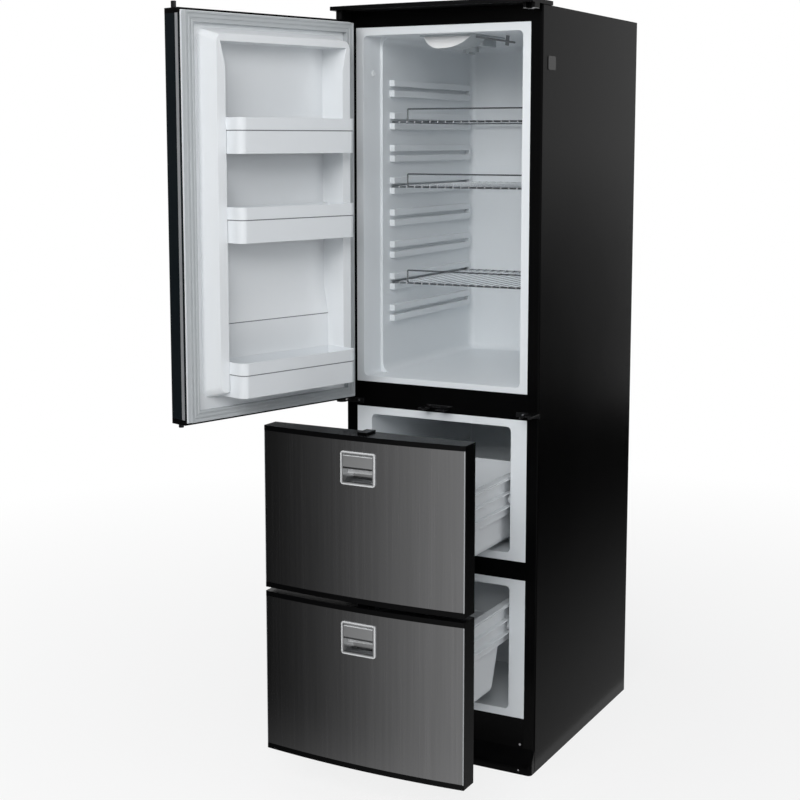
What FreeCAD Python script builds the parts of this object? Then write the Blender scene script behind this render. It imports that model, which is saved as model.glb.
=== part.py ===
import FreeCAD, Part
import Sketcher
import os
import re

# Drawer refrigerator: one hinged door over two pull-out drawers.
# Every piece is drawn with door and drawers shut, the front of the casing at y = 0
# and the floor at z = 0, and is then seated with the door swung and the drawers drawn out.

doc = FreeCAD.newDocument("drawer_refrigerator")

SIZES = {
    # Casing
    "cab_w": 440, "cab_d": 540, "sheet_t": 1, "fold_r": 3, "stile_w": 25, "base_t": 1.5,
    "kick_h": 111, "drawer_open_h": 292, "rail_h": 38, "mullion_h": 53, "header_h": 32,
    "plinth_out": 20, "plinth_h": 18, "plinth_top": 48, "plinth_r": 8,
    "hood_t": 8, "hood_over": 3, "hood_back": 42, "hood_out": 58, "hood_bow": 12,
    # Liners and foam
    "flange_t": 2, "liner_t": 2, "inner_depth": 490,
    "fridge_flange": 17, "fridge_lintel": 16, "fridge_sill": 12,
    "bay_depth": 60, "bay_step": 12, "mouth_r": 9, "rear_r": 18, "rear_cut": 8,
    "rib_front": 92, "rib_rear": 20, "rib_out": 11, "rib_half": 17.5, "rib_corner": 7,
    "slot_half": 4.3, "slot_web": 10, "first_rib": 124, "rib_headroom": 104, "rib_count": 8,
    "drawer_flange": 35, "drawer_lintel": 16, "step_low": 250, "step_high": 290, "step_rise": 135,
    "bay_wall": 46, "deck_foam": 40, "floor_foam": 45,
    # Shelves
    "side_wire_r": 2.5, "edge_wire_r": 2.2, "cross_r": 1.25, "cross_count": 17, "wire_gap": 0.5,
    "guard_h": 27, "guard_in": 34, "guard_r": 1.7, "guard_over": 2.5, "post_r": 1.5, "shelf_front": 97,
    "shelf_one": 1, "shelf_two": 4, "shelf_three": 6,
    # Lamp and thermostat
    "lamp_x": -8, "lamp_w": 108, "lamp_drop": 24, "lamp_skew": 13, "lamp_front": 45, "lamp_len": 75,
    "lens_left": 15, "lens_left_drop": 19.2, "lens_right": 26, "lens_right_drop": 16.3,
    "holder_t": 3, "holder_rim": 8, "box_w": 90, "box_len": 70, "box_drop": 20,
    "dial_r": 17, "dial_t": 10, "dial_shaft_r": 3, "dial_shaft_len": 5, "dial_bore": 6,
    "grip_h": 4, "grip_w": 6, "grip_len": 32,
    "tube_r": 2, "tube_in": 17, "tube_dx": 51, "tube_dy": 78, "tube_dz": 9,
    "clip_at": 75, "clip_w": 8, "clip_t": 2, "clip_drop": 8,
    # Door
    "door_h": 776, "door_lap_low": 31, "door_lap_top": 13, "door_t": 45, "door_bow": 12, "door_open": 106,
    "seal_gap": 12, "seal_inset": 6, "seal_w": 20, "seal_clear": 0.5, "seal_land": 4, "seal_groove": 4,
    "groove_d": 1.5, "cap_t": 10, "profile_w": 18, "skin_t": 1.2, "skin_sink": 0.8, "edge_r": 5,
    "panel_inset": 4, "dyke_h": 45, "dyke_clear": 5, "dyke_lean": 12, "dyke_crest": 12, "dyke_r": 16,
    "recess_top": 60, "recess_low": 46, "recess_deep": 13, "recess_rise": 12,
    "ramp_low": 185, "ramp_high": 245, "gusset_w": 32, "gusset_h": 46,
    "bin_h": 67, "bin_out": 85, "bin_t": 2.5, "bin_r": 16, "bin_band": 23, "bin_proud": 1.2,
    "bin_one": 510, "bin_two": 344, "bin_three": 52,
    # Hinges and catches
    "hinge_in": 9, "hinge_back": 26, "pin_r": 4, "pin_short": 1, "boss_r": 8, "fit": 0.05, "free": 0.3,
    "bracket_t": 4, "bracket_up": 2.5, "keeper_up": 1.5, "bracket_r": 11, "leg_t": 2, "leg_h": 10,
    "leg_reach": 33, "catch_r": 5, "catch_up": 13, "catch_down": 7.2, "catch_len": 40, "catch_bore": 60,
    "fork_gap": 1.2, "prong_w": 6, "prong_h": 10, "fork_reach": 11, "fork_web": 6,
    # Drawers
    "front_lap_low": 20, "front_lap_top": 10, "front_inset": 3.5, "front_t": 42, "front_bow": 12,
    "frame_w": 2.5, "front_r": 2, "drawer_out": 274, "latch_wall": 8,
    "rail_top": 3, "rail_clear": 0.5, "rail_t": 2, "rail_flange": 11.5, "rail_skirt": 81, "rail_end": 45,
    "track_top": 34, "roller_r": 12.7, "roller_w": 8, "roller_gap": 0.5, "axle_r": 3, "axle_over": 1,
    "roller_y": 24, "runner_t": 2, "runner_half": 16, "runner_end": 10,
    "tub_gap": 6, "tub_t": 2.2, "tub_end": 69, "tub_front": 6, "tub_deep": 141, "tub_clear": 15,
    "tub_deep_low": 177, "tub_clear_low": 44, "step_clear": 10, "step_gap_low": 19, "step_gap_high": 22,
    "rim_t": 3, "rim_over": 9, "rim_r": 6.6, "tub_r": 14,
    # Latches
    "latch_w": 74, "latch_h": 64, "latch_drop": 62, "latch_r": 5, "bezel_t": 3, "cup_w": 70,
    "cup_h": 60, "cup_t": 3, "cup_d": 20, "cup_clear": 0.3, "cup_room": 2,
    "scoop_r": 18, "scoop_down": 9,
    "flap_gap": 0.5, "flap_t": 2.5, "flap_up": 24.5, "flap_foot": 2, "lip_r": 2.2,
    "pivot_up": 20, "pivot_back": 1.5, "pivot_r": 2, "ear_half": 4,
    "bolt_w": 20, "bolt_d": 36, "bolt_y": 33, "bolt_up": 4.5, "bolt_drop": 8,
    "keeper_w": 60, "keeper_t": 3, "keeper_len": 42, "keeper_web": 12, "keeper_foot": 1, "keeper_rise": 5,
    "door_latch_in": 70,
    # Machine compartment
    "can_r": 62, "can_h": 165, "can_x": -100, "can_y": 440, "can_taper": 12, "dome_in": 22,
    "foot_h": 10, "foot_w": 18, "foot_x": 62, "foot_y": 43, "plate_t": 3,
    "plate_x": 74, "plate_y": 56, "relay_in": 52, "relay_out": 84, "relay_half": 25, "relay_low": 37,
    "relay_high": 99,
    "coil_x": 108, "coil_y": 452, "coil_half": 82, "coil_h": 196, "coil_end_t": 2, "coil_front": 72,
    "coil_rear": 10, "fin_count": 11, "fin_t": 1, "fin_in": 10, "fin_front": 70, "fin_rear": 20,
    "fin_low": 24, "fin_high": 190, "pipe_r": 5, "pipe_y": 45, "pipe_apart": 48, "strap_front": 6,
    "strap_half": 10, "fan_z": 108, "hub_r": 20, "hub_len": 18, "hub_gap": 1, "blade_r": 74, "blade_t": 1.6,
    "blade_w": 26, "blade_root": 4, "blade_pitch": 35, "blade_count": 5, "shaft_r": 3, "shaft_end": 2,
    "motor_r": 18, "motor_front": 3, "motor_rear": 11,
}

sheet = doc.addObject("Spreadsheet::Sheet", "Dim")
for row, (alias, size) in enumerate(SIZES.items(), start=1):
    sheet.set(f"A{row}", alias)
    sheet.set(f"B{row}", str(size))
    sheet.setAlias(f"B{row}", alias)
doc.recompute()

WORD = re.compile(r"[a-z][a-z0-9_]*")
TOUCH = 0.01
pieces = []


def bound(text):
    """The expression with each size named as a cell of the sheet."""
    return WORD.sub(lambda hit: "Dim." + hit.group() if hit.group() in SIZES else hit.group(), text)


def value(text):
    return float(sheet.evalExpression(bound(text)))


def drive(obj, prop, text):
    obj.setExpression(prop, bound(text))


def minus(text):
    return f"-({text})"


def origin(body, role):
    return next(item for item in body.Origin.OriginFeatures if item.Role == role)


def new_body(label, keep=True):
    body = doc.addObject("PartDesign::Body", label)
    body.Label = label
    if keep:
        pieces.append(body)
    return body


def rect(u0, v0, u1, v1):
    return [(u0, v0), (u1, v0), (u1, v1), (u0, v1)]


def rounded(u0, v0, u1, v1, r):
    """A rectangle whose corners turn in three straight steps."""
    steps = (f"({r})", f"({r})/2", f"({r})*(1 - sqrt(0.75))", "0")
    points = []
    for near_step, far_step in zip(steps, reversed(steps)):
        points.append((f"({u1}) - {near_step}", f"({v0}) + {far_step}"))
    for near_step, far_step in zip(steps, reversed(steps)):
        points.append((f"({u1}) - {far_step}", f"({v1}) - {near_step}"))
    for near_step, far_step in zip(steps, reversed(steps)):
        points.append((f"({u0}) + {near_step}", f"({v1}) - {far_step}"))
    for near_step, far_step in zip(steps, reversed(steps)):
        points.append((f"({u0}) + {far_step}", f"({v0}) + {near_step}"))
    return points


def flipped(points):
    """The outline mirrored across its upright axis."""
    turned = []
    for point in points:
        turned.append(tuple(minus(item) if i % 2 == 0 else item for i, item in enumerate(point)))
    return turned


def circle(u, v, r):
    return ("circle", u, v, r)


def ring(u, v, r, step):
    """A many-sided section with a corner at every step of degrees."""
    turns = range(0, 360, step)
    return [(f"({u}) + ({r})*cos({turn} deg)", f"({v}) + ({r})*sin({turn} deg)") for turn in turns]


def wire(u, v, r):
    """A six-sided section for the many thin wires and pipes, with flats above and below."""
    return ring(u, v, r, 60)


def pin_point(flat, geo, spot, u, v):
    for kind, text in (("DistanceX", u), ("DistanceY", v)):
        at = flat.addConstraint(Sketcher.Constraint(kind, -1, 1, geo, spot, value(text)))
        drive(flat, f"Constraints[{at}]", text)


def draw_circle(flat, u, v, r):
    centre = FreeCAD.Vector(value(u), value(v), 0)
    geo = flat.addGeometry(Part.Circle(centre, FreeCAD.Vector(0, 0, 1), value(r)), False)
    pin_point(flat, geo, 3, u, v)
    at = flat.addConstraint(Sketcher.Constraint("Radius", geo, value(r)))
    drive(flat, f"Constraints[{at}]", r)


def draw_loop(flat, points):
    """Lines between the points; a point with four items starts an arc through its last two."""
    corners = [FreeCAD.Vector(value(point[0]), value(point[1]), 0) for point in points]
    count = len(points)
    ends = []
    for i, point in enumerate(points):
        a = corners[i]
        b = corners[(i + 1) % count]
        if len(point) == 2:
            ends.append((flat.addGeometry(Part.LineSegment(a, b), False), 1, 2))
            continue
        via = FreeCAD.Vector(value(point[2]), value(point[3]), 0)
        left = (via - a).cross(b - via).z > 0
        arc = Part.Arc(a, via, b) if left else Part.Arc(b, via, a)
        geo = flat.addGeometry(arc, False)
        ends.append((geo, 1, 2) if left else (geo, 2, 1))
        dot = flat.addGeometry(Part.Point(via), True)
        pin_point(flat, dot, 1, point[2], point[3])
        flat.addConstraint(Sketcher.Constraint("PointOnObject", dot, 1, geo))
    for i, point in enumerate(points):
        geo, _, last = ends[i - 1]
        follow, first, _ = ends[i]
        flat.addConstraint(Sketcher.Constraint("Coincident", geo, last, follow, first))
        pin_point(flat, follow, first, point[0], point[1])


def outline(body, plane, level, shapes):
    flat = body.newObject("Sketcher::SketchObject", "outline")
    flat.AttachmentSupport = [(origin(body, plane + "_Plane"), "")]
    flat.MapMode = "FlatFace"
    drive(flat, "AttachmentOffset.Base.z", minus(level) if plane == "XZ" else level)
    for shape in shapes:
        if shape[0] == "circle":
            draw_circle(flat, *shape[1:])
        else:
            draw_loop(flat, shape)
    return flat


def add(body, plane, low, high, *shapes):
    """Pads the outlines from level low to level high of the axis square to the plane."""
    pad = body.newObject("PartDesign::Pad", "pad")
    pad.Profile = outline(body, plane, high if plane == "XZ" else low, shapes)
    drive(pad, "Length", f"({high}) - ({low})")
    doc.recompute()
    return pad


def cut(body, plane, low, high, *shapes):
    """Takes the outlines out of the body from level low to level high."""
    before = body.Tip.Shape.Volume
    pocket = body.newObject("PartDesign::Pocket", "pocket")
    pocket.Profile = outline(body, plane, low if plane == "XZ" else high, shapes)
    drive(pocket, "Length", f"({high}) - ({low})")
    doc.recompute()
    if body.Tip.Shape.Volume >= before:
        raise RuntimeError(body.Label + ": a cut took nothing away")
    return pocket


def loft(body, plane, *sections):
    """Straight walls between the outlines, each given with its level."""
    skin = body.newObject("PartDesign::AdditiveLoft", "loft")
    flats = [outline(body, plane, level, [shape]) for level, shape in sections]
    skin.Profile = flats[0]
    skin.Sections = flats[1:]
    skin.Ruled = True
    doc.recompute()
    return skin


def repeat(body, features, axis, length, count):
    pattern = body.newObject("PartDesign::LinearPattern", "repeat")
    pattern.Originals = features
    pattern.Direction = (origin(body, axis), [""])
    drive(pattern, "Length", length)
    drive(pattern, "Occurrences", count)
    body.Tip = pattern
    doc.recompute()
    return pattern


def soften(body, size, wanted, kind="Fillet"):
    """Rounds or chamfers the edges whose bounding box is accepted."""
    base = body.Tip
    names = []
    for i, edge in enumerate(base.Shape.Edges, start=1):
        if wanted(edge.BoundBox):
            names.append(f"Edge{i}")
    if not names:
        raise RuntimeError(body.Label + ": no edge to soften")
    eased = body.newObject("PartDesign::" + kind, "soft")
    eased.Base = (base, names)
    drive(eased, "Radius" if kind == "Fillet" else "Size", size)
    doc.recompute()
    return eased


def near(a, b):
    return abs(a - b) < TOUCH


def upright(box):
    return box.ZLength > TOUCH and box.XLength < TOUCH and box.YLength < TOUCH


def twin(body):
    """The mirror image of the body about the middle plane."""
    image = doc.addObject("Part::Mirroring", body.Label + "_twin")
    image.Source = body
    image.Normal = FreeCAD.Vector(1, 0, 0)
    return image


def group(label, *things):
    """Separate solids of one kind, kept as one piece."""
    whole = doc.addObject("Part::Compound", label)
    whole.Label = label
    whole.Links = list(things)
    pieces.append(whole)
    doc.recompute()
    return whole


HINGE = "vector(-(cab_w/2 - hinge_in); -(seal_gap + hinge_back); 0)"
PLACES = {
    "cabinet": "placement(vector(0; -cab_d/2; 0); rotation(vector(0; 0; 1); 0))",
    "drawer": "placement(vector(0; -cab_d/2 - drawer_out; 0); rotation(vector(0; 0; 1); 0))",
    "door": f"placement(vector(0; -cab_d/2; 0); rotation(vector(0; 0; 1); -door_open); {HINGE})",
}


def seat(place, *things):
    for thing in things:
        drive(thing, "Placement", PLACES.get(place, place))


# Levels from the floor up; the door and the fronts lap over the edges of their openings
LOWER_TOP = "(kick_h + drawer_open_h)"
UPPER_LOW = f"({LOWER_TOP} + rail_h)"
UPPER_TOP = f"({UPPER_LOW} + drawer_open_h)"
FRIDGE_LOW = f"({UPPER_TOP} + mullion_h)"
DOOR_LOW = f"({FRIDGE_LOW} - door_lap_low)"
DOOR_TOP = f"({DOOR_LOW} + door_h)"
FRIDGE_TOP = f"({DOOR_TOP} - door_lap_top)"
TOP = f"({FRIDGE_TOP} + header_h)"
CEILING = f"({FRIDGE_TOP} - fridge_lintel)"
FLOOR = f"({FRIDGE_LOW} + fridge_sill)"
LOWER_FRONT = "(kick_h - front_lap_low)"
LOWER_HIGH = f"({LOWER_TOP} + front_lap_top)"
UPPER_FRONT = f"({UPPER_LOW} - front_lap_low)"
UPPER_HIGH = f"({UPPER_TOP} + front_lap_top)"
LOWER_ROOF = f"({LOWER_TOP} - drawer_lintel)"
UPPER_ROOF = f"({UPPER_TOP} - drawer_lintel)"
UPPER_FLOOR = f"({UPPER_LOW} + drawer_lintel)"
CELLAR = "(kick_h + drawer_lintel)"
SHELF_STEP = f"({CELLAR} + step_rise)"
DECK = f"({SHELF_STEP} - deck_foam)"
DECK_LOW = f"({CELLAR} - floor_foam)"
UPPER_RIM = f"({UPPER_FLOOR} + tub_clear + tub_deep)"
LOWER_RIM = f"({CELLAR} + tub_clear_low + tub_deep_low)"

# Half widths, and the axis of the door's hinge
SIDE = "(cab_w/2)"
OPEN = "(cab_w/2 - stile_w)"
BAY_HALF = f"({OPEN} - fridge_flange)"
WALL_HALF = f"({BAY_HALF} - bay_step)"
DRAWER_HALF = f"({OPEN} - drawer_flange)"
FRONT_HALF = "(cab_w/2 - front_inset)"
RAIL_X = f"({DRAWER_HALF} - runner_t - rail_clear - rail_flange)"
TUB_HALF = f"({RAIL_X} - tub_gap)"
HINGE_X = "(cab_w/2 - hinge_in)"
HINGE_Y = "(-(seal_gap + hinge_back))"

# Casing
side_plan = [
    (OPEN, "0"),
    (f"{SIDE} - fold_r", "0", f"{SIDE} - fold_r*(1 - sqrt(0.5))", "fold_r*(1 - sqrt(0.5))"),
    (SIDE, "fold_r"),
    (SIDE, "cab_d"),
    (f"{SIDE} - sheet_t", "cab_d"),
    (f"{SIDE} - sheet_t", "fold_r", f"{SIDE} - fold_r + (fold_r - sheet_t)*sqrt(0.5)",
     "fold_r - (fold_r - sheet_t)*sqrt(0.5)"),
    (f"{SIDE} - fold_r", "sheet_t"),
    (OPEN, "sheet_t"),
]
casing_right = new_body("casing_right")
add(casing_right, "XY", "base_t", TOP, side_plan)
casing_left = new_body("casing_left")
add(casing_left, "XY", "base_t", TOP, flipped(side_plan))

INNER = f"({SIDE} - sheet_t)"
casing_top = new_body("casing_top")
add(casing_top, "XY", f"{TOP} - sheet_t", TOP, [
    (minus(INNER), "fold_r"), (minus(f"{SIDE} - fold_r"), "sheet_t"), (f"{SIDE} - fold_r", "sheet_t"),
    (INNER, "fold_r"), (INNER, "cab_d"), (minus(INNER), "cab_d")])
add(casing_top, "XZ", "0", "sheet_t", rect(minus(OPEN), FRIDGE_TOP, OPEN, TOP))

BAY_LOW = "(step_low + bay_wall)"
BAY_HIGH = "(step_high + bay_wall)"
casing_back = new_body("casing_back")
add(casing_back, "YZ", minus(INNER), INNER, [
    ("cab_d - sheet_t", f"{TOP} - sheet_t"), ("cab_d - sheet_t", DECK), (BAY_HIGH, DECK),
    (BAY_LOW, DECK_LOW), ("flange_t", DECK_LOW), ("flange_t", f"{DECK_LOW} - sheet_t"),
    (f"{BAY_LOW} + sheet_t", f"{DECK_LOW} - sheet_t"), (f"{BAY_HIGH} + sheet_t", f"{DECK} - sheet_t"),
    ("cab_d", f"{DECK} - sheet_t"), ("cab_d", f"{TOP} - sheet_t")])

base_tray = new_body("base_tray")
add(base_tray, "XY", "0", "base_t", rect(minus(SIDE), "-plinth_out", SIDE, "cab_d"))
add(base_tray, "YZ", minus(SIDE), SIDE, [
    ("-plinth_out", "0"), ("-plinth_out", "plinth_h"), ("0", "plinth_top"), ("0", "0")])
add(base_tray, "XZ", "0", "flange_t", rect(minus(OPEN), "0", OPEN, "kick_h"))
soften(base_tray, "plinth_r", lambda box: upright(box) and near(box.YMin, -value("plinth_out")))

mullion = new_body("mullion")
add(mullion, "XZ", "0", "flange_t", rect(minus(OPEN), UPPER_TOP, OPEN, FRIDGE_LOW))
drawer_rail = new_body("drawer_rail")
add(drawer_rail, "XZ", "0", "flange_t", rect(minus(OPEN), LOWER_TOP, OPEN, UPPER_LOW))

# Top hood with the upper hinge pin on the left and the fork for the door's upper catch pin on the right
HOOD_HALF = f"({SIDE} + hood_over)"
PRONG_IN = "(catch_r + fork_gap)"
top_hood = new_body("top_hood")
add(top_hood, "XY", TOP, f"{TOP} + hood_t", [
    (minus(HOOD_HALF), "hood_back"), (minus(HOOD_HALF), "-hood_out", "0", "-hood_out - hood_bow"),
    (HOOD_HALF, "-hood_out"), (HOOD_HALF, "hood_back")])
add(top_hood, "XY", f"{DOOR_TOP} + free", TOP, circle(minus(HINGE_X), HINGE_Y, "boss_r"))
add(top_hood, "XY", f"{DOOR_TOP} - cap_t + pin_short", f"{DOOR_TOP} + free", circle(
    minus(HINGE_X), HINGE_Y, "pin_r"))


def fork(back):
    """Plan of a fork open to the front around the catch pin."""
    front = f"({HINGE_Y} - fork_reach)"
    inner = f"({HINGE_Y} + {PRONG_IN})"
    wide = f"({PRONG_IN} + prong_w)"
    return [
        (f"{HINGE_X} - {wide}", back), (f"{HINGE_X} - {wide}", front), (f"{HINGE_X} - {PRONG_IN}", front),
        (f"{HINGE_X} - {PRONG_IN}", inner), (f"{HINGE_X} + {PRONG_IN}", inner),
        (f"{HINGE_X} + {PRONG_IN}", front), (f"{HINGE_X} + {wide}", front), (f"{HINGE_X} + {wide}", back)]


add(top_hood, "XY", f"{TOP} - prong_h", TOP, fork(f"{HINGE_Y} + {PRONG_IN} + fork_web"))

# Brackets on the mullion
BRACKET = f"({UPPER_HIGH} + bracket_up)"
BRACKET_TOP = f"({BRACKET} + bracket_t)"
lower_hinge = new_body("lower_hinge")
add(lower_hinge, "XY", BRACKET, BRACKET_TOP, [
    (f"-{HINGE_X} - bracket_r", "0"),
    (f"-{HINGE_X} - bracket_r", HINGE_Y, f"-{HINGE_X}", f"{HINGE_Y} - bracket_r"),
    (f"-{HINGE_X} + bracket_r", HINGE_Y), (f"-{HINGE_X} + bracket_r", "0")])
add(lower_hinge, "XZ", "-leg_t", "0", rect(
    f"-{HINGE_X} - bracket_r", f"{BRACKET_TOP} - leg_h", f"-{HINGE_X} + leg_reach", BRACKET_TOP))
add(lower_hinge, "XY", BRACKET_TOP, f"{DOOR_LOW} - free", circle(minus(HINGE_X), HINGE_Y, "boss_r"))
add(lower_hinge, "XY", f"{DOOR_LOW} - free", f"{DOOR_LOW} + cap_t - pin_short", circle(
    minus(HINGE_X), HINGE_Y, "pin_r"))

lower_catch = new_body("lower_catch")
add(lower_catch, "XY", BRACKET, BRACKET_TOP, fork("0"))
add(lower_catch, "XZ", "-leg_t", "0", rect(
    f"{HINGE_X} - {PRONG_IN} - leg_reach", f"{BRACKET_TOP} - leg_h",
    f"{HINGE_X} + {PRONG_IN} + prong_w", BRACKET_TOP))


def keeper(label, top):
    """Fork above a drawer front that the drawer's bolt rises into."""
    body = new_body(label, keep=False)
    inner = "(bolt_w/2 + fork_gap)"
    low = f"({top} + keeper_up)"
    add(body, "XY", low, f"{low} + keeper_t", [
        ("-keeper_w/2", "0"), ("-keeper_w/2", "-keeper_len"), (minus(inner), "-keeper_len"),
        (minus(inner), "-keeper_web"), (inner, "-keeper_web"), (inner, "-keeper_len"),
        ("keeper_w/2", "-keeper_len"), ("keeper_w/2", "0")])
    add(body, "XZ", "-leg_t", "0", rect(
        "-keeper_w/2", f"{low} - keeper_foot", "keeper_w/2", f"{low} + keeper_rise"))
    return body


drawer_keepers = group("drawer_keepers", keeper("keeper_low", LOWER_HIGH), keeper("keeper_high", UPPER_HIGH))


# Liners
def at_back(depth):
    return lambda box: near(box.YMin, value(depth)) and box.YLength < TOUCH


fridge_liner = new_body("fridge_liner")
add(fridge_liner, "XZ", "0", "flange_t", rect(minus(OPEN), FRIDGE_LOW, OPEN, FRIDGE_TOP))
add(fridge_liner, "XZ", "0", "bay_depth + liner_t", rect(
    f"-{BAY_HALF} - liner_t", f"{FLOOR} - liner_t", f"{BAY_HALF} + liner_t", f"{CEILING} + liner_t"))
add(fridge_liner, "XZ", "0", "inner_depth + liner_t", rect(
    f"-{WALL_HALF} - liner_t", f"{FLOOR} - liner_t", f"{WALL_HALF} + liner_t", f"{CEILING} + liner_t"))
cut(fridge_liner, "XZ", "0", "bay_depth", rounded(minus(BAY_HALF), FLOOR, BAY_HALF, CEILING, "mouth_r"))
cut(fridge_liner, "XZ", "0", "inner_depth", rounded(minus(WALL_HALF), FLOOR, WALL_HALF, CEILING, "rear_r"))
soften(fridge_liner, "rear_cut", at_back("inner_depth"), kind="Chamfer")

RIB = f"({FLOOR} + first_rib)"
RIB_PITCH = f"(({CEILING} - {FLOOR} - first_rib - rib_headroom)/(rib_count - 1))"
RIB_REAR = "(inner_depth - rib_rear)"
SLOT_END = f"({RIB_REAR} - slot_web)"
rib_side = [
    ("rib_front", f"{RIB} + slot_half"), (SLOT_END, f"{RIB} + slot_half"),
    (SLOT_END, f"{RIB} - slot_half"), ("rib_front", f"{RIB} - slot_half"),
    ("rib_front", f"{RIB} - rib_half"), (f"{RIB_REAR} - rib_corner", f"{RIB} - rib_half"),
    (RIB_REAR, f"{RIB} - rib_half + rib_corner"), (RIB_REAR, f"{RIB} + rib_half - rib_corner"),
    (f"{RIB_REAR} - rib_corner", f"{RIB} + rib_half"), ("rib_front", f"{RIB} + rib_half")]
rib_left = add(fridge_liner, "YZ", minus(WALL_HALF), f"-{WALL_HALF} + rib_out", rib_side)
rib_right = add(fridge_liner, "YZ", f"{WALL_HALF} - rib_out", WALL_HALF, rib_side)
repeat(fridge_liner, [rib_left, rib_right], "Z_Axis", f"{RIB_PITCH}*(rib_count - 1)", "rib_count")

upper_shell = rect(
    f"-{DRAWER_HALF} - liner_t", f"{UPPER_FLOOR} - liner_t",
    f"{DRAWER_HALF} + liner_t", f"{UPPER_ROOF} + liner_t")
upper_liner = new_body("upper_liner")
add(upper_liner, "XZ", "0", "flange_t", rect(minus(OPEN), UPPER_LOW, OPEN, UPPER_TOP))
add(upper_liner, "XZ", "0", "inner_depth + liner_t", upper_shell)
cut(upper_liner, "XZ", "0", "inner_depth", rounded(
    minus(DRAWER_HALF), UPPER_FLOOR, DRAWER_HALF, UPPER_ROOF, "mouth_r"))

# The lower liner steps up at the rear, over the machine compartment
lower_hollow = [
    ("0", CELLAR), ("step_low", CELLAR), ("step_high", SHELF_STEP), ("inner_depth", SHELF_STEP),
    ("inner_depth", LOWER_ROOF), ("0", LOWER_ROOF)]
lower_shell = [
    ("0", f"{CELLAR} - liner_t"), ("step_low + liner_t", f"{CELLAR} - liner_t"),
    ("step_high + liner_t", f"{SHELF_STEP} - liner_t"), ("inner_depth + liner_t", f"{SHELF_STEP} - liner_t"),
    ("inner_depth + liner_t", f"{LOWER_ROOF} + liner_t"), ("0", f"{LOWER_ROOF} + liner_t")]
lower_liner = new_body("lower_liner")
add(lower_liner, "XZ", "0", "flange_t", rect(minus(OPEN), "kick_h", OPEN, LOWER_TOP))
add(lower_liner, "YZ", f"-{DRAWER_HALF} - liner_t", f"{DRAWER_HALF} + liner_t", lower_shell)
cut(lower_liner, "YZ", minus(DRAWER_HALF), DRAWER_HALF, lower_hollow)
soften(lower_liner, "mouth_r", lambda box: box.XLength < TOUCH and near(abs(box.XMin), value(DRAWER_HALF))
       and box.YMax > value("flange_t") + TOUCH and box.ZMax > value(CELLAR) - TOUCH
       and box.ZMin < value(LOWER_ROOF) + TOUCH)

cabinet_foam = new_body("cabinet_foam")
add(cabinet_foam, "XY", DECK_LOW, f"{TOP} - sheet_t", [
    (minus(INNER), "fold_r"), (minus(f"{SIDE} - fold_r"), "sheet_t"), (minus(OPEN), "sheet_t"),
    (minus(OPEN), "flange_t"), (OPEN, "flange_t"), (OPEN, "sheet_t"), (f"{SIDE} - fold_r", "sheet_t"),
    (INNER, "fold_r"), (INNER, "cab_d - sheet_t"), (minus(INNER), "cab_d - sheet_t")])
cut(cabinet_foam, "YZ", minus(SIDE), SIDE, [
    (BAY_LOW, DECK_LOW), (BAY_HIGH, DECK), ("cab_d", DECK), ("cab_d", DECK_LOW)])
cut(cabinet_foam, "XZ", "0", "bay_depth + liner_t", rect(
    f"-{BAY_HALF} - liner_t", f"{FLOOR} - liner_t", f"{BAY_HALF} + liner_t", f"{CEILING} + liner_t"))
cut(cabinet_foam, "XZ", "0", "inner_depth + liner_t", rect(
    f"-{WALL_HALF} - liner_t", f"{FLOOR} - liner_t", f"{WALL_HALF} + liner_t", f"{CEILING} + liner_t"))
cut(cabinet_foam, "XZ", "0", "inner_depth + liner_t", upper_shell)
cut(cabinet_foam, "YZ", f"-{DRAWER_HALF} - liner_t", f"{DRAWER_HALF} + liner_t", lower_shell)


# Wire shelves, each resting in a pair of rib slots
def shelf(label, level):
    body = new_body(label)
    side = f"({WALL_HALF} - side_wire_r - wire_gap)"
    height = f"({RIB} + {RIB_PITCH}*{level} - slot_half + side_wire_r*cos(30 deg))"
    rear = f"({SLOT_END} - side_wire_r - wire_gap)"
    add(body, "XZ", "shelf_front - side_wire_r", f"{rear} + side_wire_r",
        wire(minus(side), height, "side_wire_r"), wire(side, height, "side_wire_r"))
    add(body, "YZ", minus(side), side,
        wire("shelf_front", height, "edge_wire_r"), wire(rear, height, "edge_wire_r"))
    step = f"(2*{side}/(cross_count + 1))"
    cross = add(body, "XZ", "shelf_front", rear, wire(f"-{side} + {step}", height, "cross_r"))
    repeat(body, [cross], "X_Axis", f"{step}*(cross_count - 1)", "cross_count")
    post = f"({side} - guard_in)"
    rail_z = f"({height} + guard_h)"
    add(body, "XY", height, rail_z,
        wire(minus(post), "shelf_front", "post_r"), wire(post, "shelf_front", "post_r"))
    add(body, "YZ", f"-{post} - guard_over", f"{post} + guard_over", wire("shelf_front", rail_z, "guard_r"))
    return body


shelf_bottom = shelf("shelf_bottom", "shelf_one")
shelf_middle = shelf("shelf_middle", "shelf_two")
shelf_top = shelf("shelf_top", "shelf_three")

# Lamp, thermostat and sensor under the ceiling
LAMP_L = "(lamp_x - lamp_w/2)"
LAMP_R = "(lamp_x + lamp_w/2)"
LAMP_END = "(lamp_front + lamp_len)"
lamp_housing = new_body("lamp_housing")
add(lamp_housing, "XY", f"{CEILING} - holder_t", CEILING, rounded(
    f"{LAMP_L} - holder_rim", "lamp_front - holder_rim", f"{LAMP_R} + holder_rim",
    f"{LAMP_END} + box_len + holder_rim", "holder_rim"))
add(lamp_housing, "XY", f"{CEILING} - box_drop", f"{CEILING} - holder_t", rounded(
    "lamp_x - box_w/2", LAMP_END, "lamp_x + box_w/2", f"{LAMP_END} + box_len", "holder_rim"))
DIAL_Y = f"({LAMP_END} + box_len/2)"
BOX_LOW = f"({CEILING} - box_drop)"
add(lamp_housing, "XY", f"{BOX_LOW} - dial_shaft_len", BOX_LOW, circle("lamp_x", DIAL_Y, "dial_shaft_r"))

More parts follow.
